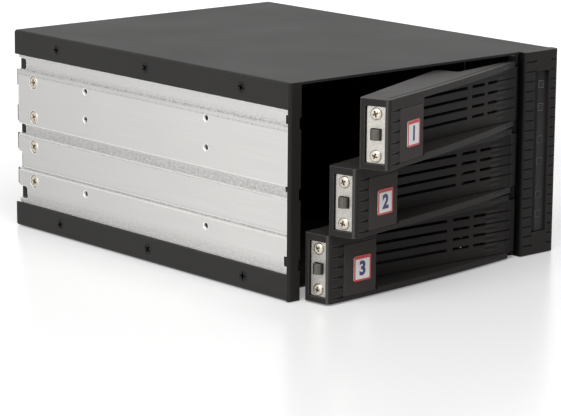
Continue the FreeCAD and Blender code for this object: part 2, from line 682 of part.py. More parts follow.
def indicator_column():
    """Hollow right column with grooves, a recessed strip, light windows and the hinge lugs."""
    edge = round_corner(HALF - COLUMN_CORNER, COLUMN_FRONT + COLUMN_CORNER, COLUMN_CORNER, -90)
    face = slab([(COLUMN_LEFT, COLUMN_FRONT + COLUMN_EASE), (COLUMN_LEFT + COLUMN_EASE, COLUMN_FRONT)] + edge
                + [(HALF, POST_WRAP), (COLUMN_LEFT, POST_WRAP)], "z", 0.0, HEIGHT)
    body = block(COLUMN_LEFT, PANEL_INSIDE, POST_WRAP, COLUMN_DEPTH, SHEET, INSIDE_TOP)
    column = fuse_all([face, body])
    hollow_front = COLUMN_FRONT + STRIP_SINK + STRIP_FLOOR
    hollow = block(COLUMN_LEFT + COLUMN_WALL, PANEL_INSIDE - COLUMN_WALL, hollow_front, COLUMN_DEPTH + OVER,
                   2 * COLUMN_WALL, HEIGHT - 2 * COLUMN_WALL)
    tools = [hollow]
    tools.append(block(STRIP_LEFT, STRIP_RIGHT, COLUMN_FRONT - OVER, COLUMN_FRONT + STRIP_SINK,
                       STRIP_LOW, STRIP_HIGH))
    half = LIGHT_SIZE / 2 + LIGHT_GAP
    for z in LIGHT_Z:
        tools.append(block(LIGHT_X - half, LIGHT_X + half, COLUMN_FRONT, hollow_front + OVER,
                           z - half, z + half))
    column = cut_all(column, tools + column_grooves())
    lugs = []
    for index in range(4):
        low, high = lug_span(index)
        stations = ((0, LUG_RADIUS), (high - low, LUG_RADIUS))
        lug = faceted(vec(HINGE_X, HINGE_Y, low), Z_AXIS, stations, LUG_SIDES)
        arm = block(HINGE_X, COLUMN_LEFT + LUG_BITE, HINGE_Y - LUG_ARM, HINGE_Y + LUG_RADIUS, low, high)
        lugs.append(lug.fuse(arm))
    column = fuse_all([column] + lugs)
    pin = HINGE_PIN / 2 + PIN_FIT
    low = lug_span(0)[0]
    high = lug_span(3)[1]
    return column.cut(rod(HINGE_X, HINGE_Y, low + PIN_FLOOR, pin, high - low - PIN_FLOOR, Z_AXIS))


def hinge_pin():
    low = lug_span(0)[0] + PIN_FLOOR
    high = lug_span(3)[1]
    return rod(HINGE_X, HINGE_Y, low, HINGE_PIN / 2, high - low, Z_AXIS)


def indicator_strip():
    """Smoked strip in the column's recess, pierced for the six lights."""
    back = COLUMN_FRONT + STRIP_SINK
    gap = STRIP_GAP
    strip = block(STRIP_LEFT + gap, STRIP_RIGHT - gap, back - STRIP_THICK, back, STRIP_LOW + gap,
                  STRIP_HIGH - gap)
    half = LIGHT_SIZE / 2 + LIGHT_GAP
    tools = []
    for z in LIGHT_Z:
        tools.append(block(LIGHT_X - half, LIGHT_X + half, back - STRIP_THICK - OVER, back + OVER,
                           z - half, z + half))
    return cut_all(strip, tools)


def light_pipes():
    """Six clear square bars from the strip back to the lamps."""
    half = LIGHT_SIZE / 2
    front = COLUMN_FRONT + STRIP_SINK - STRIP_THICK
    back = LED_BOARD_FRONT - LED_RISE - SEAT_GAP
    pipes = [block(LIGHT_X - half, LIGHT_X + half, front, back, z - half, z + half) for z in LIGHT_Z]
    return Part.makeCompound(pipes)


def status_leds():
    half = LED_SIZE / 2
    leds = [block(LIGHT_X - half, LIGHT_X + half, LED_BOARD_FRONT - LED_RISE, LED_BOARD_FRONT,
                  z - half / 2, z + half / 2) for z in LIGHT_Z]
    return Part.makeCompound(leds)


def led_board():
    left = COLUMN_LEFT + COLUMN_WALL
    right = PANEL_INSIDE - COLUMN_WALL
    return block(left, right, LED_BOARD_FRONT, LED_BOARD_FRONT + BOARD_THICK, STRIP_LOW, STRIP_HIGH)


# Doors, drawn closed and then turned about the hinge

def front_y(x):
    """Front face of a closed door: a shallow arc between its two ends."""
    middle = (DOOR_LEFT + HINGE_X) / 2
    half = (HINGE_X - DOOR_LEFT) / 2
    radius = (half * half + DOOR_BOW * DOOR_BOW) / (2 * DOOR_BOW)
    return DOOR_FRONT - DOOR_BOW + radius - math.sqrt(radius * radius - (x - middle) ** 2)


def scoop_y(x):
    """Front of the slanted grille."""
    return DOOR_FRONT + SCOOP_SLOPE * (SCOOP_END - x)


def scoop_back_y(x):
    return scoop_y(x) + GRILLE_WALL


def door_floor(index):
    return DOOR_BOTTOM + index * DOOR_PITCH


def door_outline():
    middle = (DOOR_LEFT + HINGE_X) / 2
    inner = HINGE_X - WALL_ASIDE
    rear = DOOR_FRONT + DOOR_BACK_DEPTH
    return [(DOOR_LEFT, DOOR_FRONT, DOOR_EDGE, (middle, front_y(middle))),
            (HINGE_X, DOOR_FRONT), (HINGE_X, HINGE_Y + WALL_ASIDE), (inner, scoop_back_y(inner)),
            (DOOR_BLOCK_END, scoop_back_y(DOOR_BLOCK_END), BLOCK_FILLET), (DOOR_BLOCK_END, rear, BLOCK_ROUND),
            (DOOR_LEFT, DOOR_FRONT + DOOR_END_DEPTH, END_ROUND)]


def grip_front_y(x):
    """Flat front of the grip panel, a chord of the door's arc."""
    y0 = front_y(PANEL_GRIP_LEFT)
    y1 = front_y(GRIP_RIGHT)
    return y0 + (y1 - y0) * (x - PANEL_GRIP_LEFT) / (GRIP_RIGHT - PANEL_GRIP_LEFT)


def groove_levels(floor):
    return [floor + DOOR_GROOVE_LOW + k * GROOVE_PITCH for k in range(GRIP_GROOVES)]


def slot_levels(floor):
    """Rows of the grille lie midway between the grooves of the grip."""
    first = floor + DOOR_GROOVE_LOW + 1.5 * GROOVE_PITCH
    return [first + k * GROOVE_PITCH for k in range(SLOT_ROWS)]


def catch_box(index, x0, x1, grow):
    """Square bar along the catch, grown by a clearance on all four sides."""
    y = DOOR_FRONT + END_SCREW_DEPTH
    z = catch_z(index)
    half_y = CATCH_WIDTH / 2 + grow
    half_z = CATCH_HEIGHT / 2 + grow
    return block(x0, x1, y - half_y, y + half_y, z - half_z, z + half_z)


def door_body(index):
    """Moulded door: two long lips, a slanted slotted grille, a hollow grip box and the hinge barrel."""
    floor = door_floor(index)
    top = floor + DOOR_HEIGHT
    low = floor + DOOR_LIP
    high = top - DOOR_LIP
    body = slab(door_outline(), "z", floor, top)
    barrel = rod(HINGE_X, HINGE_Y, floor, BARREL_RADIUS, DOOR_HEIGHT, Z_AXIS)
    body = fuse_all([body, barrel])
    tools = []
    far = DOOR_FRONT - DOOR_BOW - OVER
    scoop = [(GRIP_RIGHT, far), (HINGE_X, far), (HINGE_X, scoop_y(HINGE_X)),
             (GRIP_RIGHT, scoop_y(GRIP_RIGHT))]
    tools.append(slab(scoop, "z", low, high))
    inner = GRIP_RIGHT + GRIP_WALL
    behind = DOOR_FRONT + DOOR_BACK_DEPTH + OVER
    outer = HINGE_X - BARREL_RADIUS - HINGE_WEB
    back = [(inner, scoop_back_y(inner)), (outer, scoop_back_y(outer)), (outer, behind), (inner, behind)]
    tools.append(slab(back, "z", low, high))
    cavity_left = DOOR_LEFT + END_WALL
    cavity_right = GRIP_RIGHT - GRIP_WALL
    tools.append(block(cavity_left, cavity_right, DOOR_FRONT + GRIP_FACE, behind, low, high))
    tools.append(grip_pocket(floor))
    tools.extend(grip_grooves(floor))
    tools.extend(grille_cuts(floor))
    for z0, z1 in barrel_notches(index):
        tools.append(block(HINGE_X - BARREL_RADIUS - NOTCH_ASIDE, HINGE_X + BARREL_RADIUS + OVER, far, behind,
                           z0, z1))
    tools.append(top_line(top))
    tools.append(block(DOOR_LEFT - OVER, DOOR_LEFT + END_PLATE_SINK + END_PLATE_THICK,
                       DOOR_FRONT + END_PLATE_FRONT, DOOR_FRONT + END_PLATE_BACK,
                       floor + END_PLATE_LOW, floor + END_PLATE_HIGH))
    tools.append(catch_box(index, DOOR_LEFT - OVER, cavity_left + OVER, CATCH_PLAY))
    for z in END_SCREW_Z:
        tools.append(shank_hole(DOOR_LEFT, DOOR_FRONT + END_SCREW_DEPTH, floor + z, END_SCREW_SHANK,
                                END_PLATE_SINK + END_SCREW_LENGTH))
    bore = HINGE_PIN / 2 + HINGE_PLAY
    tools.append(rod(HINGE_X, HINGE_Y, floor - OVER, bore, DOOR_HEIGHT + 2 * OVER, Z_AXIS))
    body = cut_all(body, tools)
    seat = spring_seat(index)
    return fuse_all([body, seat])


def barrel_notches(index):
    """Room for the hinge lugs at the bottom and top of a door."""
    low = lug_span(index)[1] + LUG_GAP
    high = lug_span(index + 1)[0] - LUG_GAP
    floor = door_floor(index)
    return [(floor - OVER, low), (high, floor + DOOR_HEIGHT + OVER)]


def top_line(top):
    """Fine line along the upper face of a door, at one distance from the bowed front."""
    middle = (DOOR_LEFT + HINGE_X) / 2
    left = DOOR_LEFT + DOOR_EDGE
    right = HINGE_X - BARREL_RADIUS
    near = LINE_BEHIND
    far = LINE_BEHIND + LINE_WIDTH
    corners = [(left, front_y(left) + near, 0, (middle, front_y(middle) + near)),
               (right, front_y(right) + near),
               (right, front_y(right) + far, 0, (middle, front_y(middle) + far)),
               (left, front_y(left) + far)]
    return slab(corners, "z", top - LINE_DEPTH, top + OVER)


def grip_pocket(floor):
    gap = SEAT_GAP / 2
    left = PANEL_GRIP_LEFT - gap
    right = GRIP_RIGHT + OVER
    corners = [(left, grip_front_y(left) - OVER), (right, grip_front_y(right) - OVER),
               (right, grip_front_y(right) + PANEL_GRIP_THICK), (left, grip_front_y(left) + PANEL_GRIP_THICK)]
    levels = groove_levels(floor)
    return slab(corners, "z", levels[0] - gap, levels[-1] + gap)


def grip_grooves(floor):
    """Short grooves of one depth between the rounded edge and the grip panel."""
    left = DOOR_LEFT + DOOR_EDGE
    right = PANEL_GRIP_LEFT
    far = DOOR_FRONT - DOOR_BOW - OVER
    corners = [(left, far), (right, far), (right, front_y(right) + GROOVE_DEPTH),
               (left, front_y(left) + GROOVE_DEPTH)]
    half = GROOVE_WIDTH / 2
    return [slab(corners, "z", z - half, z + half) for z in groove_levels(floor)]


def grille_cuts(floor):
    """Through slots in three spans of every row, and a fine groove on towards the hinge."""
    tools = []
    for z in slot_levels(floor):
        for x0, x1 in SLOT_SPANS:
            corners = [(x0, scoop_y(x0) - OVER), (x1, scoop_y(x1) - OVER), (x1, scoop_back_y(x1) + OVER),
                       (x0, scoop_back_y(x0) + OVER)]
            tools.append(slab(corners, "z", z - SLOT_HEIGHT / 2, z + SLOT_HEIGHT / 2))
        x0 = SLOT_SPANS[-1][1] - SLOT_HEIGHT
        x1 = FINE_GROOVE_END
        corners = [(x0, scoop_y(x0) - OVER), (x1, scoop_y(x1) - OVER), (x1, scoop_y(x1) + FINE_GROOVE_DEPTH),
                   (x0, scoop_y(x0) + FINE_GROOVE_DEPTH)]
        half = FINE_GROOVE_HEIGHT / 2
        tools.append(slab(corners, "z", z - half, z + half))
    return tools


def shoulder_x():
    """Outer face of the catch shoulder, which rests against the end wall."""
    return DOOR_LEFT + END_WALL + SHOULDER_PLAY


def seat_x():
    return shoulder_x() + CATCH_SHOULDER_THICK + SPRING_LENGTH


def stem_bar(index, x0, x1, grow):
    """Square stem of the catch, grown by a clearance on all four sides."""
    y = DOOR_FRONT + END_SCREW_DEPTH
    z = catch_z(index)
    half = STEM_WIDTH / 2 + grow
    return block(x0, x1, y - half, y + half, z - half, z + half)


def spring_seat(index):
    """Upright web in the grip box that takes the spring and guides the stem."""
    x = seat_x()
    floor = door_floor(index)
    y = DOOR_FRONT + END_SCREW_DEPTH
    web = block(x, x + SPRING_SEAT, DOOR_FRONT + GRIP_FACE, y + WEB_BEHIND, floor + DOOR_LIP,
                floor + DOOR_HEIGHT - DOOR_LIP)
    return web.cut(stem_bar(index, x - OVER, x + SPRING_SEAT + OVER, CATCH_PLAY))


def grip_panel(index):
    floor = door_floor(index)
    left = PANEL_GRIP_LEFT
    right = GRIP_RIGHT
    corners = [(left, grip_front_y(left)), (right, grip_front_y(right), PANEL_GRIP_ROUND),
               (right, grip_front_y(right) + PANEL_GRIP_THICK), (left, grip_front_y(left) + PANEL_GRIP_THICK)]
    levels = groove_levels(floor)
    return slab(corners, "z", levels[0], levels[-1])


def number_label(index):
    """Thin printed plate on the grip panel."""
    floor = door_floor(index)
    y0 = grip_front_y(LABEL_LEFT)
    y1 = grip_front_y(LABEL_RIGHT)
    corners = [(LABEL_LEFT, y0 - LABEL_THICK), (LABEL_RIGHT, y1 - LABEL_THICK), (LABEL_RIGHT, y1),
               (LABEL_LEFT, y0)]
    plate = slab(corners, "z", floor + LABEL_LOW, floor + LABEL_HIGH)
    short = [e for e in plate.Edges if e.Length < 2 * LABEL_THICK]
    return plate.makeChamfer(LABEL_CORNER, short)


def end_plate(index):
    floor = door_floor(index)
    gap = END_PLATE_GAP
    corners = cut_corners(DOOR_FRONT + END_PLATE_FRONT + gap, DOOR_FRONT + END_PLATE_BACK - END_PLATE_SHORT,
                          floor + END_PLATE_LOW + gap, floor + END_PLATE_HIGH - gap, END_PLATE_CORNER)
    x0 = DOOR_LEFT + END_PLATE_SINK
    plate = slab(corners, "x", x0, x0 + END_PLATE_THICK)
    tools = [catch_box(index, x0 - OVER, x0 + END_PLATE_THICK + OVER, 2 * CATCH_PLAY)]
    for z in END_SCREW_Z:
        tools.append(shank_hole(x0 - OVER, DOOR_FRONT + END_SCREW_DEPTH, floor + z, END_SCREW_SHANK,
                                END_PLATE_THICK + 2 * OVER))
    return cut_all(plate, tools)


def end_screws(index):
    floor = door_floor(index)
    seat = DOOR_LEFT + END_PLATE_SINK
    screws = [pan_screw(vec(seat, DOOR_FRONT + END_SCREW_DEPTH, floor + z), X_AXIS, END_SCREW_HEAD,
                        END_SCREW_RISE, END_SCREW_SHANK, END_SCREW_LENGTH) for z in END_SCREW_Z]
    return Part.makeCompound(screws)


def catch_bolt(index):
    """Spring bolt: rounded nose, square shank, shoulder and stem."""
    y = DOOR_FRONT + END_SCREW_DEPTH
    z = catch_z(index)
    half_y = CATCH_WIDTH / 2
    half_z = CATCH_HEIGHT / 2
    tip = DOOR_LEFT - CATCH_REACH
    shoulder = shoulder_x()
    corners = [(tip, y - half_y, half_y * NOSE_ROUND), (shoulder, y - half_y), (shoulder, y + half_y),
               (tip, y + half_y, half_y * NOSE_ROUND)]
    nose = slab(corners, "z", z - half_z, z + half_z)
    plate = block(shoulder, shoulder + CATCH_SHOULDER_THICK, y - half_y - SHOULDER_FRONT,
                  y + half_y + CATCH_SHOULDER, z - half_z - CATCH_SHOULDER, z + half_z + CATCH_SHOULDER)
    return fuse_all([nose, plate, stem_bar(index, shoulder, seat_x() + SPRING_SEAT, 0.0)])


def catch_spring(index):
    """Coil spring between the bolt's shoulder and the web."""
    y = DOOR_FRONT + END_SCREW_DEPTH
    z = catch_z(index)
    half = SPRING_WIRE / 2
    start = shoulder_x() + CATCH_SHOULDER_THICK + half
    length = SPRING_LENGTH - SPRING_WIRE
    count = SPRING_TURNS * SPRING_SIDES
    points = []
    for k in range(count + 1):
        turn = 2 * math.pi * k / SPRING_SIDES
        points.append(vec(start + length * k / count, y + SPRING_RADIUS * math.cos(turn),
                          z + SPRING_RADIUS * math.sin(turn)))
    path = Part.makePolygon(points)
    side = half * SPRING_SECTION
    first = points[0]
    section = Part.makePolygon([first + vec(a * side, b * side, 0)
                                for a, b in ((-1, -1), (1, -1), (1, 1), (-1, 1), (-1, -1))])
    return path.makePipeShell([section], True, False, 1)


def turned(shape, index):
    """Swing a closed door piece to the angle it is shown at."""
    moved = shape.copy()
    moved.rotate(vec(HINGE_X, HINGE_Y, 0), Z_AXIS, DOOR_OPEN[index])
    return moved


# Drive rails and divider

def shelf_levels():
    """Lowest and highest level of the four shelves between and outside the bays."""
    lows = [SHEET] + [bay_floor(i) + BAY_HEIGHT for i in range(3)]
    highs = [bay_floor(i) for i in range(3)] + [INSIDE_TOP]
    return list(zip(lows, highs))


def drive_rail(plate_low, plate_high, shelf_end):
    """Moulded rail: plate with four shelves, tapered at the front."""
    root = plate_high if shelf_end > plate_high else plate_low
    solids = [block(plate_low, plate_high, BAY_FRONT, RAIL_REAR, SHEET, INSIDE_TOP)]
    for low, high in shelf_levels():
        corners = [(root, BAY_FRONT), (shelf_end, BAY_FRONT + RAIL_LEAD), (shelf_end, RAIL_REAR),
                   (root, RAIL_REAR)]
        solids.append(slab(corners, "z", low, high))
    rail = fuse_all(solids)
    return rail


def rail_left():
    """Rail on the side panel, with windows behind the panel's holes and screws."""
    low = -PANEL_INSIDE
    rail = drive_rail(low, low + RAIL_SEAT, BAY_LEFT + RAIL_SHELF)
    windows = [(y, z) for y in (MOUNT_Y, MOUNT_Y + MOUNT_PITCH_Y) for z in MOUNT_Z]
    windows += [(y, TOP_SCREW_Z) for y in top_screw_ys()] + [(y, BOTTOM_SCREW_Z) for y in bottom_screw_ys()]
    half = RAIL_WINDOW / 2
    reach = COVER_SCREW_LENGTH + SEAT_GAP - HALF
    tools = [block(low - OVER, reach, y - half, y + half, z - half, z + half) for y, z in windows]
    return cut_all(rail, tools)


def rail_right():
    return drive_rail(BAY_RIGHT, BAY_RIGHT + RAIL_PLATE, BAY_RIGHT - RAIL_SHELF)


def divider_wall():
    """Steel wall beside the bays with a foot and a head flange against the covers."""
    left = BAY_RIGHT + RAIL_PLATE
    right = left + DIVIDER_THICK
    far = left + DIVIDER_FLANGE
    top = INSIDE_TOP
    low = SHEET + DIVIDER_THICK
    high = top - DIVIDER_THICK
    profile = [(left, SHEET, DIVIDER_BEND), (far, SHEET), (far, low), (right, low),
               (right, high), (far, high), (far, top), (left, top, DIVIDER_BEND)]
    return slab(profile, "y", BAY_FRONT, DIVIDER_REAR)


# Backplane

def pillar_places():
    return [(x, z) for x in (BOARD_LEFT + PILLAR_INSET, PILLAR_X, BOARD_RIGHT - PILLAR_INSET)
            for z in (BOARD_LOW + PILLAR_RISE, BOARD_HIGH - PILLAR_RISE)]


def backplane_board():
    """Circuit board with windows for the air between the sockets."""
    board = block(BOARD_LEFT, BOARD_RIGHT, BOARD_FRONT, BOARD_REAR, BOARD_LOW, BOARD_HIGH)
    y0 = BOARD_FRONT - OVER
    y1 = BOARD_REAR + OVER
    hole = BOARD_SCREW_SHANK / 2 + SCREW_CLEARANCE
    tools = [faceted(vec(x, y0, z), Y_AXIS, ((0, hole), (y1 - y0, hole))) for x, z in pillar_places()]
    half = AIR_WINDOW / 2
    for index in range(3):
        z = bay_floor(index) + BAY_HEIGHT / 2
        tools.append(block(-half, half, y0, y1, z - half, z + half))
        socket = bay_floor(index) + SOCKET_RISE + SOCKET_HEIGHT / 2
        reach = SOCKET_LENGTH / 2 - RAIL_SHELF
        tools.append(block(SOCKET_X - reach, SOCKET_X + reach, y0, y1, socket + WINDOW_RISE, z + half))
    return cut_all(board, tools)


def drive_sockets():
    """Three sockets of data and power contacts, one for each drive."""
    sockets = []
    left = SOCKET_X - SOCKET_LENGTH / 2
    right = SOCKET_X + SOCKET_LENGTH / 2
    data_left = left + SOCKET_WALL
    data_right = data_left + CONTACT_LENGTH
    front = BOARD_FRONT - SOCKET_DEPTH
    for index in range(3):
        z = bay_floor(index) + SOCKET_RISE
        low = z - CONTACT_HEIGHT / 2
        high = z + CONTACT_HEIGHT / 2
        shell = block(left, right, front, BOARD_FRONT, z - SOCKET_HEIGHT / 2, z + SOCKET_HEIGHT / 2)
        cuts = [block(x0, x1, front - OVER, BOARD_FRONT - SOCKET_FLOOR, low, high)
                for x0, x1 in ((data_left, data_right), (data_right + CONTACT_WEB, right - SOCKET_WALL))]
        sockets.append(cut_all(shell, cuts))
    return Part.makeCompound(sockets)


def port_zs():
    return [bay_floor(i) + BAY_HEIGHT / 2 for i in range(3)]


def data_ports():
    """Three upright data ports that reach out through the rear wall."""
    ports = []
    end = BRACKET_WALL + BRACKET_SHEET + PORT_OUT
    for z in port_zs():
        port = block(PORT_X - PORT_WIDTH / 2, PORT_X + PORT_WIDTH / 2, BOARD_REAR, end,
                     z - PORT_LENGTH / 2, z + PORT_LENGTH / 2)
        slot = block(PORT_X - DATA_TONGUE / 2, PORT_X + DATA_TONGUE, end - PORT_BORE, end + OVER,
                     z - DATA_SLOT / 2, z + DATA_SLOT / 2)
        ports.append(port.cut(slot))
    return Part.makeCompound(ports)


def power_ports():
    """Two four-way power sockets."""
    ports = []
    end = BRACKET_WALL + BRACKET_SHEET + PORT_OUT
    for z in POWER_Z:
        port = block(POWER_X - POWER_WIDTH / 2, POWER_X + POWER_WIDTH / 2, BOARD_REAR, end,
                     z - POWER_LENGTH / 2, z + POWER_LENGTH / 2)
        cuts = []
        for k in range(4):
            middle = z + (k - 1.5) * POWER_PITCH
            cuts.append(block(POWER_X - POWER_PIN, POWER_X + POWER_PIN, end - PORT_BORE, end + OVER,
                              middle - POWER_PIN, middle + POWER_PIN))
        ports.append(cut_all(port, cuts))
    return Part.makeCompound(ports)


def board_standoffs():
    """Hexagonal pillars between the board and the rear wall."""
    pillars = []
    hole = BOARD_SCREW_SHANK / 2 + SCREW_CLEARANCE
    length = BRACKET_WALL - BOARD_REAR
    for x, z in pillar_places():
        place = vec(x, BOARD_REAR, z)
        pillar = faceted(place, Y_AXIS, ((0, PILLAR_WIDTH / 2), (length, PILLAR_WIDTH / 2)), 6)
        pillars.append(pillar.cut(faceted(place, Y_AXIS, ((-OVER, hole), (PILLAR_BORE, hole)))))
    return Part.makeCompound(pillars)


def board_screws():
    return Part.makeCompound([pan_screw(vec(x, BOARD_FRONT, z), Y_AXIS, BOARD_SCREW_HEAD, BOARD_SCREW_RISE,
                                        BOARD_SCREW_SHANK, BOARD_SCREW_LENGTH) for x, z in pillar_places()])


# Rear bracket

def vent_slots(y0, y1):
    """Rows of level slots that fill a circle over the fan, split by an upright web."""
    tools = []
    rows = 2 * VENT_ROWS + 1
    for k in range(rows):
        z = MID_Z + (k - VENT_ROWS) * VENT_PITCH
        half = math.sqrt(VENT_RADIUS ** 2 - (abs(z - MID_Z) + VENT_SLOT / 2) ** 2)
        low = z - VENT_SLOT / 2
        for x0, x1 in ((FAN_X - half, FAN_X - VENT_WEB / 2), (FAN_X + VENT_WEB / 2, FAN_X + half)):
            tools.append(block(x0, x1, y0, y1, low, low + VENT_SLOT))
    return tools


def rear_bracket():
    """Folded steel bracket: rear wall, side flanges and four ears on each side."""
    end = BRACKET_WALL + BRACKET_SHEET
    inner = PANEL_INSIDE - BRACKET_SHEET
    wall = block(-PANEL_INSIDE, PANEL_INSIDE, BRACKET_WALL, end, SHEET, INSIDE_TOP)
    front = BRACKET_WALL - BRACKET_SIDE
    sides = []
    for sign in (-1, 1):
        x0 = min(sign * inner, sign * PANEL_INSIDE)
        sides.append(block(x0, x0 + BRACKET_SHEET, front, end, BRACKET_LOW, BRACKET_HIGH))
        for z in EAR_Z:
            sides.append(block(x0, x0 + BRACKET_SHEET, end - BRACKET_SHEET, EAR_REAR,
                               z - EAR_HEIGHT / 2, z + EAR_HEIGHT / 2))
    bracket = fuse_all([wall] + sides)
    y0 = BRACKET_WALL - OVER
    y1 = end + OVER
    tools = vent_slots(y0, y1)
    for x, z in fan_hole_places():
        tools.append(faceted(vec(x, y0, z), Y_AXIS, ((0, FAN_HOLE / 2), (y1 - y0, FAN_HOLE / 2))))
    gap = PORT_GAP
    for z in port_zs():
        tools.append(block(PORT_X - PORT_WIDTH / 2 - gap, PORT_X + PORT_WIDTH / 2 + gap, y0, y1,
                           z - PORT_LENGTH / 2 - gap, z + PORT_LENGTH / 2 + gap))
    for z in POWER_Z:
        tools.append(block(POWER_X - POWER_WIDTH / 2 - gap, POWER_X + POWER_WIDTH / 2 + gap, y0, y1,
                           z - POWER_LENGTH / 2 - gap, z + POWER_LENGTH / 2 + gap))
    for z in PANEL_SCREW_Z:
        tools.append(shank_hole(-HALF, PANEL_SCREW_Y, z, PANEL_SCREW_SHANK, WIDTH))
    return cut_all(bracket, tools)


# Fan

def fan_hole_places():
    half = FAN_HOLES / 2
    return [(FAN_X + sx * half, MID_Z + sz * half) for sx in (-1, 1) for sz in (-1, 1)]


def fan_frame():
    """Square fan frame with a round duct, four struts and the motor base."""
    y1 = BRACKET_WALL
    y0 = y1 - FAN_THICK
    half = FAN_SIZE / 2
    outline = cut_corners(FAN_X - half, FAN_X + half, MID_Z - half, MID_Z + half, FAN_CHAMFER)
    frame = slab(outline, "y", y0, y1)
    depth = FAN_THICK + 2 * OVER
    tools = [rod(FAN_X, y0 - OVER, MID_Z, FAN_BORE / 2, depth, Y_AXIS)]
    for x, z in fan_hole_places():
        tools.append(faceted(vec(x, y0 - OVER, z), Y_AXIS, ((0, FAN_HOLE / 2), (depth, FAN_HOLE / 2))))
    frame = cut_all(frame, tools)
    base = rod(FAN_X, y0, MID_Z, HUB_RADIUS + BASE_RIM, BASE_THICK, Y_AXIS)
    pieces = [frame, base]
    for k in range(4):
        strut = block(FAN_X + HUB_RADIUS - OVER, FAN_X + FAN_BORE / 2 + OVER, y0, y0 + BASE_THICK,
                      MID_Z - STRUT_WIDTH / 2, MID_Z + STRUT_WIDTH / 2)
        strut.rotate(vec(FAN_X, 0, MID_Z), Y_AXIS, 45 + 90 * k)
        pieces.append(strut)
    shaft_hole = rod(FAN_X, y0 - OVER, MID_Z, FAN_SHAFT / 2 + FAN_SHAFT_PLAY, BASE_THICK + 2 * OVER, Y_AXIS)
    return fuse_all(pieces).cut(shaft_hole)


def rotor_span():
    y1 = BRACKET_WALL - ROTOR_GAP
    y0 = BRACKET_WALL - FAN_THICK + BASE_THICK + ROTOR_GAP
    return y0, y1


def fan_blade():
    """Bowed and pitched blade that runs out along X from the hub."""
    y0, y1 = rotor_span()
    middle = (y0 + y1) / 2
    half = BLADE_CHORD / 2
    thick = BLADE_THICK / 2
    front = middle - thick
    back = middle + thick
    section = [(front, -half), (front - BLADE_CAMBER, 0), (front, half), (back, half),
               (back - BLADE_CAMBER, 0), (back, -half)]
    blade = slab(section, "x", HUB_RADIUS - BLADE_ROOT, BLADE_TIP)
    blade.rotate(vec(0, middle, 0), X_AXIS, BLADE_PITCH)
    blade.translate(vec(FAN_X, 0, MID_Z))
    return blade


def fan_rotor():
    """Hub with its blades and a short shaft in the motor base."""
    y0, y1 = rotor_span()
    hub = rod(FAN_X, y0, MID_Z, HUB_RADIUS, y1 - y0, Y_AXIS)
    reach = BASE_THICK + ROTOR_GAP
    shaft = rod(FAN_X, y0 - reach, MID_Z, FAN_SHAFT / 2, reach + OVER, Y_AXIS)
    pieces = [hub, shaft]
    for k in range(BLADE_COUNT):
        copy = fan_blade()
        copy.rotate(vec(FAN_X, 0, MID_Z), Y_AXIS, 360.0 * k / BLADE_COUNT)
        pieces.append(copy)
    return fuse_all(pieces)


def fan_screws():
    end = BRACKET_WALL + BRACKET_SHEET
    return Part.makeCompound([pan_screw(vec(x, end, z), Y_AXIS * -1, FAN_SCREW_HEAD, FAN_SCREW_RISE,
                                        FAN_SCREW_SHANK, FAN_SCREW_LENGTH) for x, z in fan_hole_places()])


def build():
    save(cover_channel(False), "top_cover")
    save(cover_channel(True), "bottom_cover")
    panel = side_panel()
    save(panel, "side_panel_left")
    save(mirror_x(panel), "side_panel_right")
    save(cover_screws(), "cover_screws")
    save(panel_screws(), "panel_screws")
    save(front_post(), "front_post")
    save(indicator_column(), "indicator_column")
    save(indicator_strip(), "indicator_strip")
    save(light_pipes(), "light_pipes")
    save(status_leds(), "status_leds")
    save(led_board(), "led_board")
    save(hinge_pin(), "hinge_pin")
    save(rail_left(), "drive_rail_left")
    save(rail_right(), "drive_rail_right")
    save(divider_wall(), "divider_wall")
    save(backplane_board(), "backplane_board")
    save(drive_sockets(), "drive_sockets")
    save(data_ports(), "data_ports")
    save(power_ports(), "power_ports")
    save(board_standoffs(), "board_standoffs")
    save(board_screws(), "board_screws")
    save(rear_bracket(), "rear_bracket")
    save(fan_frame(), "fan_frame")
    save(fan_rotor(), "fan_rotor")
    save(fan_screws(), "fan_screws")
    for index, name in enumerate(DOOR_NAMES):
        pieces = (("body", door_body), ("grip_panel", grip_panel), ("label", number_label),
                  ("end_plate", end_plate), ("end_screws", end_screws), ("catch_bolt", catch_bolt),
                  ("catch_spring", catch_spring))
        for piece, maker in pieces:
            save(turned(maker(index), index), name + "_door_" + piece)


build()
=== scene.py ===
import json
import math

import bmesh
import bpy
from bpy.props import FloatProperty, FloatVectorProperty, PointerProperty
from mathutils import Matrix, Vector


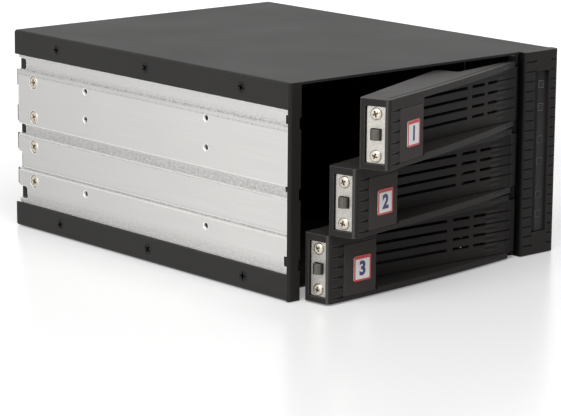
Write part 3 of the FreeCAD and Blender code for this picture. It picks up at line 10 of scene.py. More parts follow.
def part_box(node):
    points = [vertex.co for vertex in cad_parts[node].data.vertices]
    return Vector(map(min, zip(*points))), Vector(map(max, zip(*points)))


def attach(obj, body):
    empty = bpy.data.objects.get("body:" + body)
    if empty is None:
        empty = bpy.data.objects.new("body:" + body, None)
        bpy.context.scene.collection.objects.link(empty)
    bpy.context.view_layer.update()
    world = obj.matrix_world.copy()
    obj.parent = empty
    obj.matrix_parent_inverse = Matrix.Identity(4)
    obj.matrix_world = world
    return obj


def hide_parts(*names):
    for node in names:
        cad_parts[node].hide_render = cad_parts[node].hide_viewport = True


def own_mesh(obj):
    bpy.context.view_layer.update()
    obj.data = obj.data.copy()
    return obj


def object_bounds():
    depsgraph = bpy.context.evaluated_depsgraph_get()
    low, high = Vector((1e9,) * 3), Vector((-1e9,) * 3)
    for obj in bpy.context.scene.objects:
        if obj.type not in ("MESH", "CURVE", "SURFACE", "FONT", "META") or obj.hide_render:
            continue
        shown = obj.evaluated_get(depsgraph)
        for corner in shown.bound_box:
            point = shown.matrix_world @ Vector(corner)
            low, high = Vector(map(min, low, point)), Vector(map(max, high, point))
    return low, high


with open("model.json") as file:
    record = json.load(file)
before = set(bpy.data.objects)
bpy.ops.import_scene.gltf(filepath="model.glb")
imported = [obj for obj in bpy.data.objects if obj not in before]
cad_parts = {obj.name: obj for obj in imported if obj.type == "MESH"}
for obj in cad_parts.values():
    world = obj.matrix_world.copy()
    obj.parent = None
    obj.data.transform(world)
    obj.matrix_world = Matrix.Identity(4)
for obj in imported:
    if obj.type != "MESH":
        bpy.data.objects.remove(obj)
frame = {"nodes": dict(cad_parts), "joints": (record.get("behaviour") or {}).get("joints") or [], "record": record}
CAD_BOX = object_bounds()

bl_info = {
    "name": "Hot Swap Drive Cage",
    "version": (1, 0, 0),
    "blender": (4, 5, 0),
    "location": "3D Viewport > Sidebar > Drive Cage",
    "description": "Finishes and small fittings of a three bay hot swap drive cage",
    "category": "Object",
}

MM = 0.001
UP = Vector((0, 0, 1))
DOORS = ("lower", "middle", "upper")
BAY_NUMBERS = {"upper": "1", "middle": "2", "lower": "3"}

# Doors and column
GROOVE_PITCH_MM = 86 / 21     # spacing of the fine ribs on every front moulding
FIRST_GROOVE_MM = 1.95        # lowest rib above a door's underside
GROOVE_REACH_MM = 0.9         # how near the walls of a groove stand that gets painted shade
ROLL_REACH_MM = 20.0          # distance from the hinge at which the painted shade and highlights of a door's rolled end stop
HIGHLIGHT_END_MM = (6.0, 5.4)      # where the painted highlights on a door's free end begin and are full, back from its tip
TOP_LIGHT_GAIN = 1.22              # how much paler a door's upper side is: painted light from above
STRIP_RIM_SHADOW_MM = (3.0, 0.5)  # painted shadow of the recess rim at the left and the top of the indicator strip
PIPE_RIM_MM = 0.42            # sawn rim of a light pipe

# Catch springs and threads
SPRING_WIRE_MM = 0.5
SPRING_RADIUS_MM = 1.7        # from the coil's axis to the middle of the wire
SPRING_TURNS = 4
THREAD_PITCH_MM = 0.4         # of the turns that are drawn at the mouth of a case hole
THREAD_START_MM = 0.28        # first turn behind the mouth
COLLAR_GAP_MM = 0.01          # between a thread's collar and the wall of its hole

# Labels
INK_MM = 0.03                 # height of the print above the label
FRAME_HEAD = 1.8              # width of the printed frame's top, in widths of its sides
DIGIT_SHARE = 0.69            # height of a digit, as a share of the font's size
DIGIT_BOLD_MM = 0.34          # how far the strokes of a digit are thickened
DIGIT_DEPTH_MM = 0.012        # half of a digit's thickness

# Reading the solids
WELD_MM = 0.002               # corners nearer than this are one corner
LEVEL_MM = 0.02               # corners this close to a plane lie in it
HEAD_MM = 0.05                # corners this close to a screw's end belong to its outer face

# Camera of the photograph, which is 561 x 416 pixels
PHOTO_WIDTH = 561
FOCAL_PIXELS = 2636.95
SENSOR_MM = 36.0
CAMERA_AZIMUTH = -41.336
CAMERA_ELEVATION = 12.213
CAMERA_ROLL = 0.457
CAMERA_ASIDE_MM = (-57.974, 26.887, 1069.316)   # right, up and back in the camera's own directions

# Studio lamps: place, aim and size in metres
KEY_LAMP = ((-0.7, -0.5, 1.1), (0.0, 0.08, 0.04), (1.2, 0.9))
SIDE_LAMP = ((-1.5, -0.1, 0.55), (0.0, 0.05, 0.04), (0.8, 0.7))
FLOOR_GAP_MM = 0.3            # how far the floor lies below the part

# Settings of a colour mix, plain or as a shade over a colour
BLEND = {"data_type": "RGBA"}
SHADE = {"data_type": "RGBA", "blend_type": "MULTIPLY"}


def linear(code):
    """An sRGB hex colour as linear red, green, blue and alpha."""
    parts = [int(code[i:i + 2], 16) / 255 for i in (1, 3, 5)]
    return tuple(c / 12.92 if c <= 0.04045 else ((c + 0.055) / 1.055) ** 2.4 for c in parts) + (1.0,)


def grey(level):
    """A grey of one linear level, as red, green, blue and alpha."""
    return (level, level, level, 1.0)


def add(tree, kind, inputs=None, stops=None, **settings):
    """One node in a tree. Inputs are values, sockets, or nodes whose first output in use is meant.

    The stops of a colour ramp are its places with a colour or grey level each.
    """
    node = tree.nodes.new(kind)
    for name, value in settings.items():
        setattr(node, name, value)
    for name, source in (inputs or {}).items():
        if isinstance(source, bpy.types.Node):
            source = next(socket for socket in source.outputs if socket.enabled)
        if isinstance(source, bpy.types.NodeSocket):
            tree.links.new(source, node.inputs[name])
        else:
            node.inputs[name].default_value = source
    if stops:
        elements = node.color_ramp.elements
        while len(elements) < len(stops):
            elements.new(0.5)
        for element, (place, shade) in zip(elements, stops):
            element.position = place
            element.color = shade if isinstance(shade, tuple) else grey(shade)
    return node


def per_mm(size):
    """Texture scale at which one feature is that many millimetres wide."""
    return 1.0 / (size * MM)


def start_material(name):
    """Empty material with its tree and the object's own coordinates."""
    material = bpy.data.materials.new(name)
    material.use_nodes = True
    tree = material.node_tree
    tree.nodes.clear()
    return material, tree, add(tree, "ShaderNodeTexCoord").outputs["Object"]


class ShellFinish(bpy.types.PropertyGroup):
    """Colours of the covers and the side panels."""
    powder_coat: FloatVectorProperty(
        name="Powder coat", description="Colour of the steel covers", subtype="COLOR", size=3,
        min=0.0, max=1.0, default=linear("#282726")[:3])
    aluminium: FloatVectorProperty(
        name="Aluminium", description="Colour of the brushed side panels", subtype="COLOR", size=3,
        min=0.0, max=1.0, default=linear("#d2d1cf")[:3])
    edge_round: FloatProperty(
        name="Edge round", description="Rounding that catches light on sheet edges", unit="LENGTH",
        min=0.0, max=0.001, default=0.25 * MM)


class FrontFinish(bpy.types.PropertyGroup):
    """Colours of the mouldings and the doors' small parts."""
    frame_plastic: FloatVectorProperty(
        name="Post and column", description="Colour of the front mouldings", subtype="COLOR", size=3,
        min=0.0, max=1.0, default=linear("#2a2827")[:3])
    door_plastic: FloatVectorProperty(
        name="Doors", description="Colour of the moulded doors", subtype="COLOR", size=3,
        min=0.0, max=1.0, default=linear("#2c2a29")[:3])
    grip_plastic: FloatVectorProperty(
        name="Grip panels", description="Colour of the grip panels", subtype="COLOR", size=3,
        min=0.0, max=1.0, default=linear("#3b3735")[:3])
    label_film: FloatVectorProperty(
        name="Label", description="Colour of the number labels", subtype="COLOR", size=3,
        min=0.0, max=1.0, default=linear("#e9e6e6")[:3])
    numeral_ink: FloatVectorProperty(
        name="Numeral", description="Colour of the bay numbers", subtype="COLOR", size=3,
        min=0.0, max=1.0, default=linear("#2b2a63")[:3])
    frame_ink: FloatVectorProperty(
        name="Label frame", description="Colour of the label's printed frame", subtype="COLOR", size=3,
        min=0.0, max=1.0, default=linear("#c23a3c")[:3])
    numeral_height: FloatProperty(
        name="Numeral height", description="Height of the bay numbers", unit="LENGTH",
        min=0.001, max=0.01, default=5.2 * MM)
    label_corner: FloatProperty(
        name="Label corner", description="Corner radius of the printed frame", unit="LENGTH",
        min=0.0, max=0.003, default=0.6 * MM)
    frame_width: FloatProperty(
        name="Frame width", description="Width of the label's printed frame", unit="LENGTH",
        min=0.0001, max=0.002, default=0.75 * MM)


class StageSettings(bpy.types.PropertyGroup):
    """Floor and light of the studio."""
    floor_size: FloatProperty(
        name="Floor", description="Side of the pale floor", unit="LENGTH", min=1.0, max=40.0, default=16.0)
    world_level: FloatProperty(
        name="World light", description="Strength of the white surroundings on the object",
        min=0.0, max=2.0, default=0.26)
    key_power: FloatProperty(
        name="Key light", description="Power of the large soft light", unit="POWER",
        min=0.0, max=200.0, default=17.0)
    side_power: FloatProperty(
        name="Side light", description="Power of the soft light on the left", unit="POWER",
        min=0.0, max=200.0, default=4.5)


# What the frame says

def joint_called(name):
    """A joint of the part's own model."""
    return next(joint for joint in frame["joints"] if joint["name"] == name)


def hinge_axis():
    """Where the doors' common hinge axis stands."""
    return Vector(joint_called(DOORS[0] + "_door_hinge")["pos_m"])


def door_length():
    """Distance from the hinge axis to the doors' free end."""
    axis = hinge_axis()
    points = [v.co for v in frame["nodes"][DOORS[0] + "_door_body"].data.vertices]
    return max(math.hypot(p.x - axis.x, p.y - axis.y) for p in points)


def door_turn(name):
    """Angle at which a door stands open at rest, from its joint's lower limit."""
    return -math.radians(joint_called(name + "_door_hinge")["range_deg"][0])


# Parts of the finishes

def mottled(tree, colour, pattern, darkest, palest):
    """A colour times the grey that a noise pattern gives, over the span in which most of its values lie."""
    shade = add(tree, "ShaderNodeValToRGB", {"Fac": pattern}, ((0.3, darkest), (0.7, palest)))
    return add(tree, "ShaderNodeMix", {"Factor": 1.0, "A": colour, "B": shade}, **SHADE)


def grained_skin(tree, pattern, strength, depth, edge_radius):
    """Direction of a surface with rounded edges, from which a pattern stands up."""
    edge = add(tree, "ShaderNodeBevel", {"Radius": edge_radius}, samples=4)
    return add(tree, "ShaderNodeBump", {
        "Strength": strength, "Distance": depth, "Height": pattern, "Normal": edge})


def edge_highlights(tree, colour, highlight_colour, radius, amount, where=None):
    """A colour that turns towards another one on the sheet's or moulding's edges, or on some of them: a painted
    highlight where the edges catch light.
    """
    round_edge = add(tree, "ShaderNodeBevel", {"Radius": radius}, samples=6)
    flat = add(tree, "ShaderNodeNewGeometry").outputs["True Normal"]
    match = add(tree, "ShaderNodeVectorMath", {0: round_edge, 1: flat}, operation="DOT_PRODUCT")
    share = add(tree, "ShaderNodeMapRange", {"Value": match, "From Min": 0.995, "From Max": 0.9, "To Max": amount})
    if where:
        share = add(tree, "ShaderNodeMath", {0: share, 1: where}, operation="MULTIPLY")
    return add(tree, "ShaderNodeMix", {"Factor": share, "A": colour, "B": highlight_colour}, **BLEND)


def groove_shade(tree, colour, darkest):
    """Painted shade: a colour that darkens inside narrow grooves, and not on faces that look sideways."""
    open_sky = add(tree, "ShaderNodeAmbientOcclusion", {"Distance": GROOVE_REACH_MM * MM},
                   samples=8, only_local=True)
    shade = add(tree, "ShaderNodeValToRGB", {"Fac": open_sky.outputs["AO"]}, ((0.45, darkest), (0.9, 1.0)))
    flat = add(tree, "ShaderNodeNewGeometry").outputs["True Normal"]
    facing = add(tree, "ShaderNodeSeparateXYZ", {"Vector": flat})
    sideways = add(tree, "ShaderNodeMath", {0: facing.outputs["X"]}, operation="ABSOLUTE")
    share = add(tree, "ShaderNodeMapRange", {"Value": sideways, "From Min": 0.97, "From Max": 0.9})
    return add(tree, "ShaderNodeMix", {"Factor": share, "A": colour, "B": shade}, **SHADE)


def hinge_distance(tree, place):
    """Level distance of a point from the doors' hinge axis."""
    hinge = hinge_axis()
    spot = add(tree, "ShaderNodeSeparateXYZ", {"Vector": place})
    level = add(tree, "ShaderNodeCombineXYZ", {"X": spot.outputs["X"], "Y": spot.outputs["Y"]})
    return add(tree, "ShaderNodeVectorMath", {0: level, 1: (hinge.x, hinge.y, 0)}, operation="DISTANCE")


def hinge_share(tree, place):
    """Level distance of a point from the hinge axis, as a share of the rolled end's reach."""
    return add(tree, "ShaderNodeMath", {0: hinge_distance(tree, place), 1: 1 / (ROLL_REACH_MM * MM)},
               operation="MULTIPLY")


def hinge_gap_shade(tree, colour, place):
    """A colour that darkens in the narrow gap around the doors' hinge: painted shade."""
    shade = add(tree, "ShaderNodeValToRGB", {"Fac": hinge_share(tree, place)}, (
        (0.0, 0.05), (0.2, 0.12), (0.27, 0.6), (0.33, 1.0)))
    return add(tree, "ShaderNodeMix", {"Factor": 1.0, "A": colour, "B": shade}, **SHADE)


def painted_top_light(tree, colour):
    """A colour that is paler on faces that look up: painted light from above."""
    flat = add(tree, "ShaderNodeNewGeometry").outputs["True Normal"]
    facing = add(tree, "ShaderNodeSeparateXYZ", {"Vector": flat})
    share = add(tree, "ShaderNodeMapRange", {
        "Value": facing.outputs["Z"], "From Min": 0.9, "From Max": 1.0, "To Min": 1.0, "To Max": TOP_LIGHT_GAIN})
    return add(tree, "ShaderNodeMix", {"Factor": 1.0, "A": colour, "B": share}, **SHADE)


def rounded_edges(tree, place):
    """Share that is largest on a door's rounded edges, which look neither along the door nor square to it; it
    places a painted highlight.
    """
    flat = add(tree, "ShaderNodeNewGeometry").outputs["True Normal"]
    normal = add(tree, "ShaderNodeVectorTransform", {"Vector": flat},
                 vector_type="NORMAL", convert_from="WORLD", convert_to="OBJECT")
    away = add(tree, "ShaderNodeVectorMath", {0: place, 1: tuple(hinge_axis())}, operation="SUBTRACT")
    level = add(tree, "ShaderNodeVectorMath", {0: away, 1: (1, 1, 0)}, operation="MULTIPLY")
    along = add(tree, "ShaderNodeVectorMath", {0: level}, operation="NORMALIZE")
    shares = []
    for direction in (along, (0, 0, 1)):
        facing = add(tree, "ShaderNodeVectorMath", {0: normal, 1: direction}, operation="DOT_PRODUCT")
        size = add(tree, "ShaderNodeMath", {0: facing}, operation="ABSOLUTE")
        shares.append(add(tree, "ShaderNodeValToRGB", {"Fac": size}, (
            (0.70, 0.0), (0.80, 0.6), (0.92, 0.6), (0.97, 0.0))))
    return add(tree, "ShaderNodeMath", {0: shares[0], 1: shares[1]}, operation="MAXIMUM")


def free_end_highlights(tree, colour, place, palest, radius):
    """A door's colour, paler on the edges of its free end: a painted highlight there."""
    begins, full = (door_length() - back * MM for back in HIGHLIGHT_END_MM)
    share = add(tree, "ShaderNodeMapRange", {
        "Value": hinge_distance(tree, place), "From Min": begins, "From Max": full})
    edge_lit = edge_highlights(tree, colour, palest, radius, 0.9, share)
    rounding = add(tree, "ShaderNodeMath", {0: rounded_edges(tree, place), 1: share}, operation="MULTIPLY")
    return add(tree, "ShaderNodeMix", {"Factor": rounding, "A": edge_lit, "B": palest}, **BLEND)


def painted_roll_shade(tree, colour, place):
    """A door's colour beside its hinge, painted as if the front rolled back there: painted dark lines and
    highlights of the ribs, a painted highlight on the crest, painted shade down the roll, deepest at the top.
    """
    low, above = (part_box(name + "_door_body")[0].z for name in DOORS[:2])
    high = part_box(DOORS[-1] + "_door_body")[1].z
    pitch = GROOVE_PITCH_MM * MM
    up = add(tree, "ShaderNodeSeparateXYZ", {"Vector": place}).outputs["Z"]
    share = hinge_share(tree, place)
    # painted shade down the roll towards the hinge, deeper higher up
    shadow = add(tree, "ShaderNodeValToRGB", {"Fac": share}, (
        (0.30, 0.04), (0.42, 0.15), (0.56, 0.5), (0.68, 1.0), (1.0, 1.0)))
    height = add(tree, "ShaderNodeMapRange", {
        "Value": up, "From Min": low, "From Max": high, "To Min": 0.1, "To Max": 1.0})
    roll = add(tree, "ShaderNodeMix", {"Factor": height, "A": grey(1.0), "B": shadow}, **BLEND)
    # painted highlight on the crest of the roll
    crest = add(tree, "ShaderNodeValToRGB", {"Fac": share}, (
        (0.44, 0.0), (0.60, 1.0), (0.83, 0.9), (0.85, 0.0)))
    across = up
    for operation, value in (("SUBTRACT", low), ("MODULO", above - low), ("SUBTRACT", FIRST_GROOVE_MM * MM),
                             ("PINGPONG", pitch / 2), ("MULTIPLY", 2 / pitch)):
        across = add(tree, "ShaderNodeMath", {0: across, 1: value}, operation=operation)
    # painted dark lines and highlights of the ribs along the crest
    rib = add(tree, "ShaderNodeValToRGB", {"Fac": across}, (
        (0.0, 0.3), (0.2, 0.7), (0.45, 1.45), (0.8, 1.2), (1.0, 0.55)))
    ribbed = add(tree, "ShaderNodeMix", {"Factor": crest, "A": roll, "B": rib}, **SHADE)
    return add(tree, "ShaderNodeMix", {"Factor": 1.0, "A": colour, "B": ribbed}, **SHADE)


# Finishes

def powder_coated_steel(colour, edge_radius):
    """Black powder coat on sheet steel: satin, with a fine pebbled skin that scatters soft light."""
    material, tree, place = start_material("powder_coated_steel")
    # Such pebbles are typically finer than this, and are drawn as coarse as they need to show
    pebble = add(tree, "ShaderNodeTexNoise", {"Vector": place, "Scale": per_mm(0.9), "Detail": 2.0})
    speck = add(tree, "ShaderNodeTexNoise", {"Vector": place, "Scale": per_mm(0.5), "Detail": 2.0})
    cloud = add(tree, "ShaderNodeTexNoise", {"Vector": place, "Scale": per_mm(40.0), "Detail": 3.0})
    tone = mottled(tree, (*colour, 1.0), speck, 0.6, 1.4)
    shader = add(tree, "ShaderNodeBsdfPrincipled", {
        # painted highlight on the coat's edges
        "Base Color": edge_highlights(tree, tone, linear("#4a4948"), 0.3 * MM, 0.7),
        "Specular IOR Level": 0.16,
        "Roughness": add(tree, "ShaderNodeMapRange", {"Value": cloud, "To Min": 0.46, "To Max": 0.58}),
        "Normal": grained_skin(tree, pebble, 0.5, 0.03 * MM, edge_radius)})
    add(tree, "ShaderNodeOutputMaterial", {"Surface": shader})
    return material


def moulded_plastic(name, colour, roughness, grain, depth, edge, near_hinge=False, door=False):
    """ABS or nylon from a spark eroded mould: a soft even grain (its size and depth and the rounded edge
    in millimetres) that breaks up reflections.
    """
    material, tree, place = start_material(name)
    # Spark grain is typically much finer, and is drawn as coarse as it needs to show
    skin = add(tree, "ShaderNodeTexNoise", {"Vector": place, "Scale": per_mm(grain), "Detail": 2.0})
    cloud = add(tree, "ShaderNodeTexNoise", {"Vector": place, "Scale": per_mm(18.0), "Detail": 3.0})
    gloss = add(tree, "ShaderNodeMapRange", {
        "Value": cloud, "To Min": roughness - 0.05, "To Max": roughness + 0.05})
    tone = mottled(tree, (*colour, 1.0), skin, 0.8, 1.2)
    # palest is the colour of the painted highlights on the edges
    palest = tuple(min(c * 3.0 + 0.03, 1.0) for c in colour) + (1.0,)
    highlight_radius = edge * MM * 1.6
    if door:
        tone = free_end_highlights(tree, tone, place, palest, highlight_radius)
    else:
        tone = edge_highlights(tree, tone, palest, highlight_radius, 0.25)
    # painted shade in grooves and, near the hinge, in its gap
    tone = groove_shade(tree, tone, 0.25)
    if near_hinge:
        tone = hinge_gap_shade(tree, tone, place)
    # painted light on upper faces, and painted shade and highlights beside the hinge
    if door:
        tone = painted_roll_shade(tree, painted_top_light(tree, tone), place)
    shader = add(tree, "ShaderNodeBsdfPrincipled", {
        "Base Color": tone, "Specular IOR Level": 0.06, "Roughness": gloss,
        "Normal": grained_skin(tree, skin, 0.3, depth * MM, edge * MM)})
    add(tree, "ShaderNodeOutputMaterial", {"Surface": shader})
    return material


# How strongly the side panels turn to a darker coarse grain beside their steps, by height as a share of the
# part's: the grain is the surface's, the darkening is painted shade of the steps
STEP_SHADE_BANDS = (
    (0.140, 0.5), (0.205, 0.0), (0.297, 0.0), (0.300, 1.0), (0.308, 0.5), (0.326, 0.0), (0.466, 0.0),
    (0.469, 1.0), (0.475, 0.35), (0.482, 0.7), (0.515, 0.55), (0.533, 0.0), (0.775, 0.0), (0.781, 0.7),
    (0.788, 0.15), (0.800, 0.35), (0.805, 1.0), (0.812, 0.45), (0.835, 0.15), (0.88, 0.1))


def brushed_aluminium(colour, edge_radius):
    """Extruded and brushed aluminium: fine lines along the depth; grainy bands beside the steps, darkened as
    painted shade; painted falloff of light towards the back; painted highlights on the edges.
    """
    material, tree, place = start_material("brushed_aluminium")
    # Brush lines are typically much finer, and are drawn as coarse as they need to show
    along = add(tree, "ShaderNodeMapping", {"Vector": place, "Scale": (1.0, 0.012, 1.0)})
    lines = add(tree, "ShaderNodeTexNoise", {"Vector": along, "Scale": per_mm(0.45), "Detail": 3.0})
    streak = add(tree, "ShaderNodeMapping", {"Vector": place, "Scale": (1.0, 0.35, 1.0)})
    grain = add(tree, "ShaderNodeTexNoise", {
        "Vector": streak, "Scale": per_mm(0.45), "Detail": 3.0, "Roughness": 0.75})
    spot = add(tree, "ShaderNodeSeparateXYZ", {"Vector": place})
    share = add(tree, "ShaderNodeMath", {0: spot.outputs["Z"], 1: CAD_BOX[1].z}, operation="DIVIDE")
    step_shade = add(tree, "ShaderNodeValToRGB", {"Fac": share}, STEP_SHADE_BANDS)
    rough_grain = add(tree, "ShaderNodeValToRGB", {"Fac": grain}, ((0.36, 0.32), (0.60, 0.95)))
    banded = add(tree, "ShaderNodeMix", {"Factor": step_shade, "A": (*colour, 1.0), "B": rough_grain}, **SHADE)
    fine = add(tree, "ShaderNodeValToRGB", {"Fac": lines}, ((0.3, 0.93), (0.7, 1.0)))
    # painted falloff of light: darker towards the back
    painted_falloff = add(tree, "ShaderNodeMapRange", {
        "Value": spot.outputs["Y"], "From Min": 30 * MM, "From Max": 170 * MM, "To Min": 1.0, "To Max": 0.84})
    lines_and_falloff = add(tree, "ShaderNodeMix", {"Factor": 1.0, "A": fine, "B": painted_falloff}, **SHADE)
    tone = add(tree, "ShaderNodeMix", {"Factor": 1.0, "A": banded, "B": lines_and_falloff}, **SHADE)
    shader = add(tree, "ShaderNodeBsdfPrincipled", {
        # painted highlight, near white, on the panels' edges
        "Base Color": edge_highlights(tree, tone, linear("#fdfdfc"), 0.5 * MM, 1.0), "Metallic": 1.0,
        "Roughness": add(tree, "ShaderNodeMapRange", {"Value": lines, "To Min": 0.42, "To Max": 0.54}),
        "Normal": grained_skin(tree, lines, 0.25, 0.02 * MM, edge_radius)})
    add(tree, "ShaderNodeOutputMaterial", {"Surface": shader})
    return material


def metal(name, code, roughness, grain, depth, edge, spread):
    """Bare or plated metal with a fine grain, drawn as coarse as it needs to show: its size and depth and
    the rounded edge are in millimetres.
    """
    material, tree, place = start_material(name)
    skin = add(tree, "ShaderNodeTexNoise", {"Vector": place, "Scale": per_mm(grain), "Detail": 3.0})
    gloss = add(tree, "ShaderNodeMapRange", {
        "Value": skin, "To Min": roughness - 0.06, "To Max": roughness + 0.08})
    shader = add(tree, "ShaderNodeBsdfPrincipled", {
        "Base Color": mottled(tree, linear(code), skin, 1.0 - spread, 1.0), "Metallic": 1.0,
        "Roughness": gloss, "Normal": grained_skin(tree, skin, 0.3, depth * MM, edge * MM)})
    add(tree, "ShaderNodeOutputMaterial", {"Surface": shader})
    return material


def printed_film(name, colour):
    """Printed polyester film: smooth, slightly mottled by the ink."""
    material, tree, place = start_material(name)
    skin = add(tree, "ShaderNodeTexNoise", {"Vector": place, "Scale": per_mm(0.3), "Detail": 2.0})
    shader = add(tree, "ShaderNodeBsdfPrincipled", {
        "Base Color": mottled(tree, (*colour, 1.0), skin, 0.93, 1.0), "Roughness": 0.42})
    add(tree, "ShaderNodeOutputMaterial", {"Surface": shader})
    return material


def smoked_acrylic():
    """Smoked acrylic strip: near black and softly glossy, with a painted black shadow of the recess rim at its
    left and top, and painted shade that darkens towards the top.
    """
    low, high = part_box("indicator_strip")
    left = low.x + STRIP_RIM_SHADOW_MM[0] * MM
    top = high.z - STRIP_RIM_SHADOW_MM[1] * MM
    material, tree, place = start_material("smoked_acrylic")
    wave = add(tree, "ShaderNodeTexNoise", {"Vector": place, "Scale": per_mm(6.0), "Detail": 1.0})
    spot = add(tree, "ShaderNodeSeparateXYZ", {"Vector": place})
    beside = add(tree, "ShaderNodeMapRange", {
        "Value": spot.outputs["X"], "From Min": left, "From Max": left + 0.5 * MM})
    below = add(tree, "ShaderNodeMapRange", {
        "Value": spot.outputs["Z"], "From Min": top, "From Max": top - 0.4 * MM})
    # inside: off the painted shadow of the rim
    inside = add(tree, "ShaderNodeMath", {0: beside, 1: below}, operation="MULTIPLY")
    height = add(tree, "ShaderNodeMapRange", {"Value": spot.outputs["Z"], "From Min": low.z, "From Max": top})
    # darker towards the top: painted shade under the top rim
    film = add(tree, "ShaderNodeValToRGB", {"Fac": height}, (
        (0.0, linear("#333232")), (0.6, linear("#302f30")), (1.0, linear("#1f1e1f"))))
    shader = add(tree, "ShaderNodeBsdfPrincipled", {
        "Base Color": add(tree, "ShaderNodeMix", {"Factor": inside, "A": linear("#040404"), "B": film}, **BLEND),
        "IOR": 1.49, "Specular IOR Level": 0.12,
        "Roughness": add(tree, "ShaderNodeMapRange", {"Value": wave, "To Min": 0.34, "To Max": 0.46}),
        "Normal": add(tree, "ShaderNodeBevel", {"Radius": 0.2 * MM}, samples=4)})
    add(tree, "ShaderNodeOutputMaterial", {"Surface": shader})
    return material


def cast_acrylic(name, dark, pale):
    """Light pipes of smoked cast acrylic: dark from outside, and paler where the sawn rim scatters light."""
    material, tree, place = start_material(name)
    wave = add(tree, "ShaderNodeTexNoise", {"Vector": place, "Scale": per_mm(1.5), "Detail": 1.0})
    shader = add(tree, "ShaderNodeBsdfPrincipled", {
        "Base Color": add(tree, "ShaderNodeValToRGB", {"Fac": wave}, ((0.3, linear(dark)), (0.7, linear(pale)))),
        "Roughness": 0.3, "IOR": 1.49, "Specular IOR Level": 0.15,
        "Normal": add(tree, "ShaderNodeBevel", {"Radius": 0.3 * MM}, samples=4)})
    add(tree, "ShaderNodeOutputMaterial", {"Surface": shader})
    return material


def solder_mask():
    """Glass epoxy board under green solder mask: glossy, with tracks that stand up faintly."""
    material, tree, place = start_material("solder_mask_board")
    turn = add(tree, "ShaderNodeMapping", {"Vector": place, "Rotation": (math.radians(90), 0, 0)})
    tracks = add(tree, "ShaderNodeTexBrick", {
        "Vector": turn, "Scale": per_mm(1.0), "Mortar Size": 0.18, "Brick Width": 14.0, "Row Height": 1.1,
        "Color1": grey(0.0), "Color2": grey(0.0), "Mortar": grey(1.0)}, offset=0.37).outputs["Fac"]
    shader = add(tree, "ShaderNodeBsdfPrincipled", {
        "Base Color": add(tree, "ShaderNodeValToRGB", {"Fac": tracks}, (
            (0.0, linear("#0d3d1f")), (1.0, linear("#17572e")))),
        "Roughness": 0.28,
        "Normal": add(tree, "ShaderNodeBump", {"Strength": 0.3, "Distance": 0.04 * MM, "Height": tracks})})
    add(tree, "ShaderNodeOutputMaterial", {"Surface": shader})
    return material


# Finish, material, colour, roughness; in mm the grain, its depth and the rounded edge; and for metals the
# spread of the tone
PLAIN_MOULDINGS = (
    ("rail_abs", "moulded_abs_rails", "#141313", 0.5, 0.5, 0.03, 0.2),
    ("fan_nylon", "glass_filled_nylon_fan", "#121212", 0.5, 0.3, 0.03, 0.3),
    ("socket_nylon", "black_nylon_sockets", "#101010", 0.4, 0.3, 0.02, 0.2),
    ("power_nylon", "natural_nylon_ports", "#cfcab8", 0.45, 0.4, 0.02, 0.2),
)
METALS = (
    ("end_plate", "tumbled_aluminium_plates", "#c4c1ba", 0.42, 0.5, 0.06, 0.3, 0.3),
    ("nickel", "nickel_plated_steel", "#d6cdbe", 0.3, 0.5, 0.02, 0.12, 0.3),
    # the recess finishes are darker than their screws: painted shade in the cross recesses
    ("nickel_recess", "nickel_plated_recess_shade", "#8d8474", 0.4, 0.3, 0.02, 0.05, 0.4),
    ("black", "black_oxide_steel", "#2b2929", 0.38, 0.4, 0.01, 0.12, 0.16),
    ("black_recess", "black_oxide_recess_shade", "#0c0b0b", 0.5, 0.4, 0.01, 0.05, 0.16),
    ("zinc", "zinc_plated_steel", "#b9bbbd", 0.36, 6.0, 0.01, 0.15, 0.16),
    ("brass", "turned_brass", "#b89a55", 0.3, 0.3, 0.01, 0.1, 0.16),
    ("catch", "die_cast_zinc", "#6b6863", 0.3, 0.3, 0.05, 0.45, 0.5),
    ("spring", "drawn_spring_wire", "#9a9a9a", 0.3, 0.3, 0.01, 0.05, 0.16),
)
FINISHES = {}


def make_finishes(context):
    """Every finish once, kept by name."""
    shell = context.scene.cage_shell
    front = context.scene.cage_front
    FINISHES["powder"] = powder_coated_steel(shell.powder_coat, shell.edge_round)
    FINISHES["aluminium"] = brushed_aluminium(shell.aluminium, shell.edge_round)
    FINISHES["frame_abs"] = moulded_plastic("moulded_abs_frame", front.frame_plastic, 0.42, 0.4, 0.03, 0.3,
                                            near_hinge=True)
    FINISHES["door_abs"] = moulded_plastic("moulded_abs_doors", front.door_plastic, 0.40, 0.35, 0.03, 0.25,
                                           near_hinge=True, door=True)
    FINISHES["grip_abs"] = moulded_plastic("moulded_abs_grips", front.grip_plastic, 0.46, 0.5, 0.05, 0.3)
    for finish, name, code, *numbers in PLAIN_MOULDINGS:
        FINISHES[finish] = moulded_plastic(name, linear(code)[:3], *numbers)
    for finish, name, code, *numbers in METALS:
        FINISHES[finish] = metal(name, code, *numbers)
    FINISHES["label"] = printed_film("printed_film_white", front.label_film)
    FINISHES["numeral"] = printed_film("printed_film_blue", front.numeral_ink)
    FINISHES["label_frame"] = printed_film("printed_film_red", front.frame_ink)
    FINISHES["smoked"] = smoked_acrylic()
    FINISHES["pipe"] = cast_acrylic("light_pipe_acrylic", "#201f20", "#292829")
    FINISHES["pipe_rim"] = cast_acrylic("light_pipe_rim", "#4c4a4b", "#5b595a")
    FINISHES["board"] = solder_mask()


def dress(finish, *nodes):
    """Gives CAD nodes a finish, with their own meshes kept."""
    for name in nodes:
        slots = frame["nodes"][name].data.materials
        slots.clear()
        slots.append(FINISHES[finish])


# Shapes

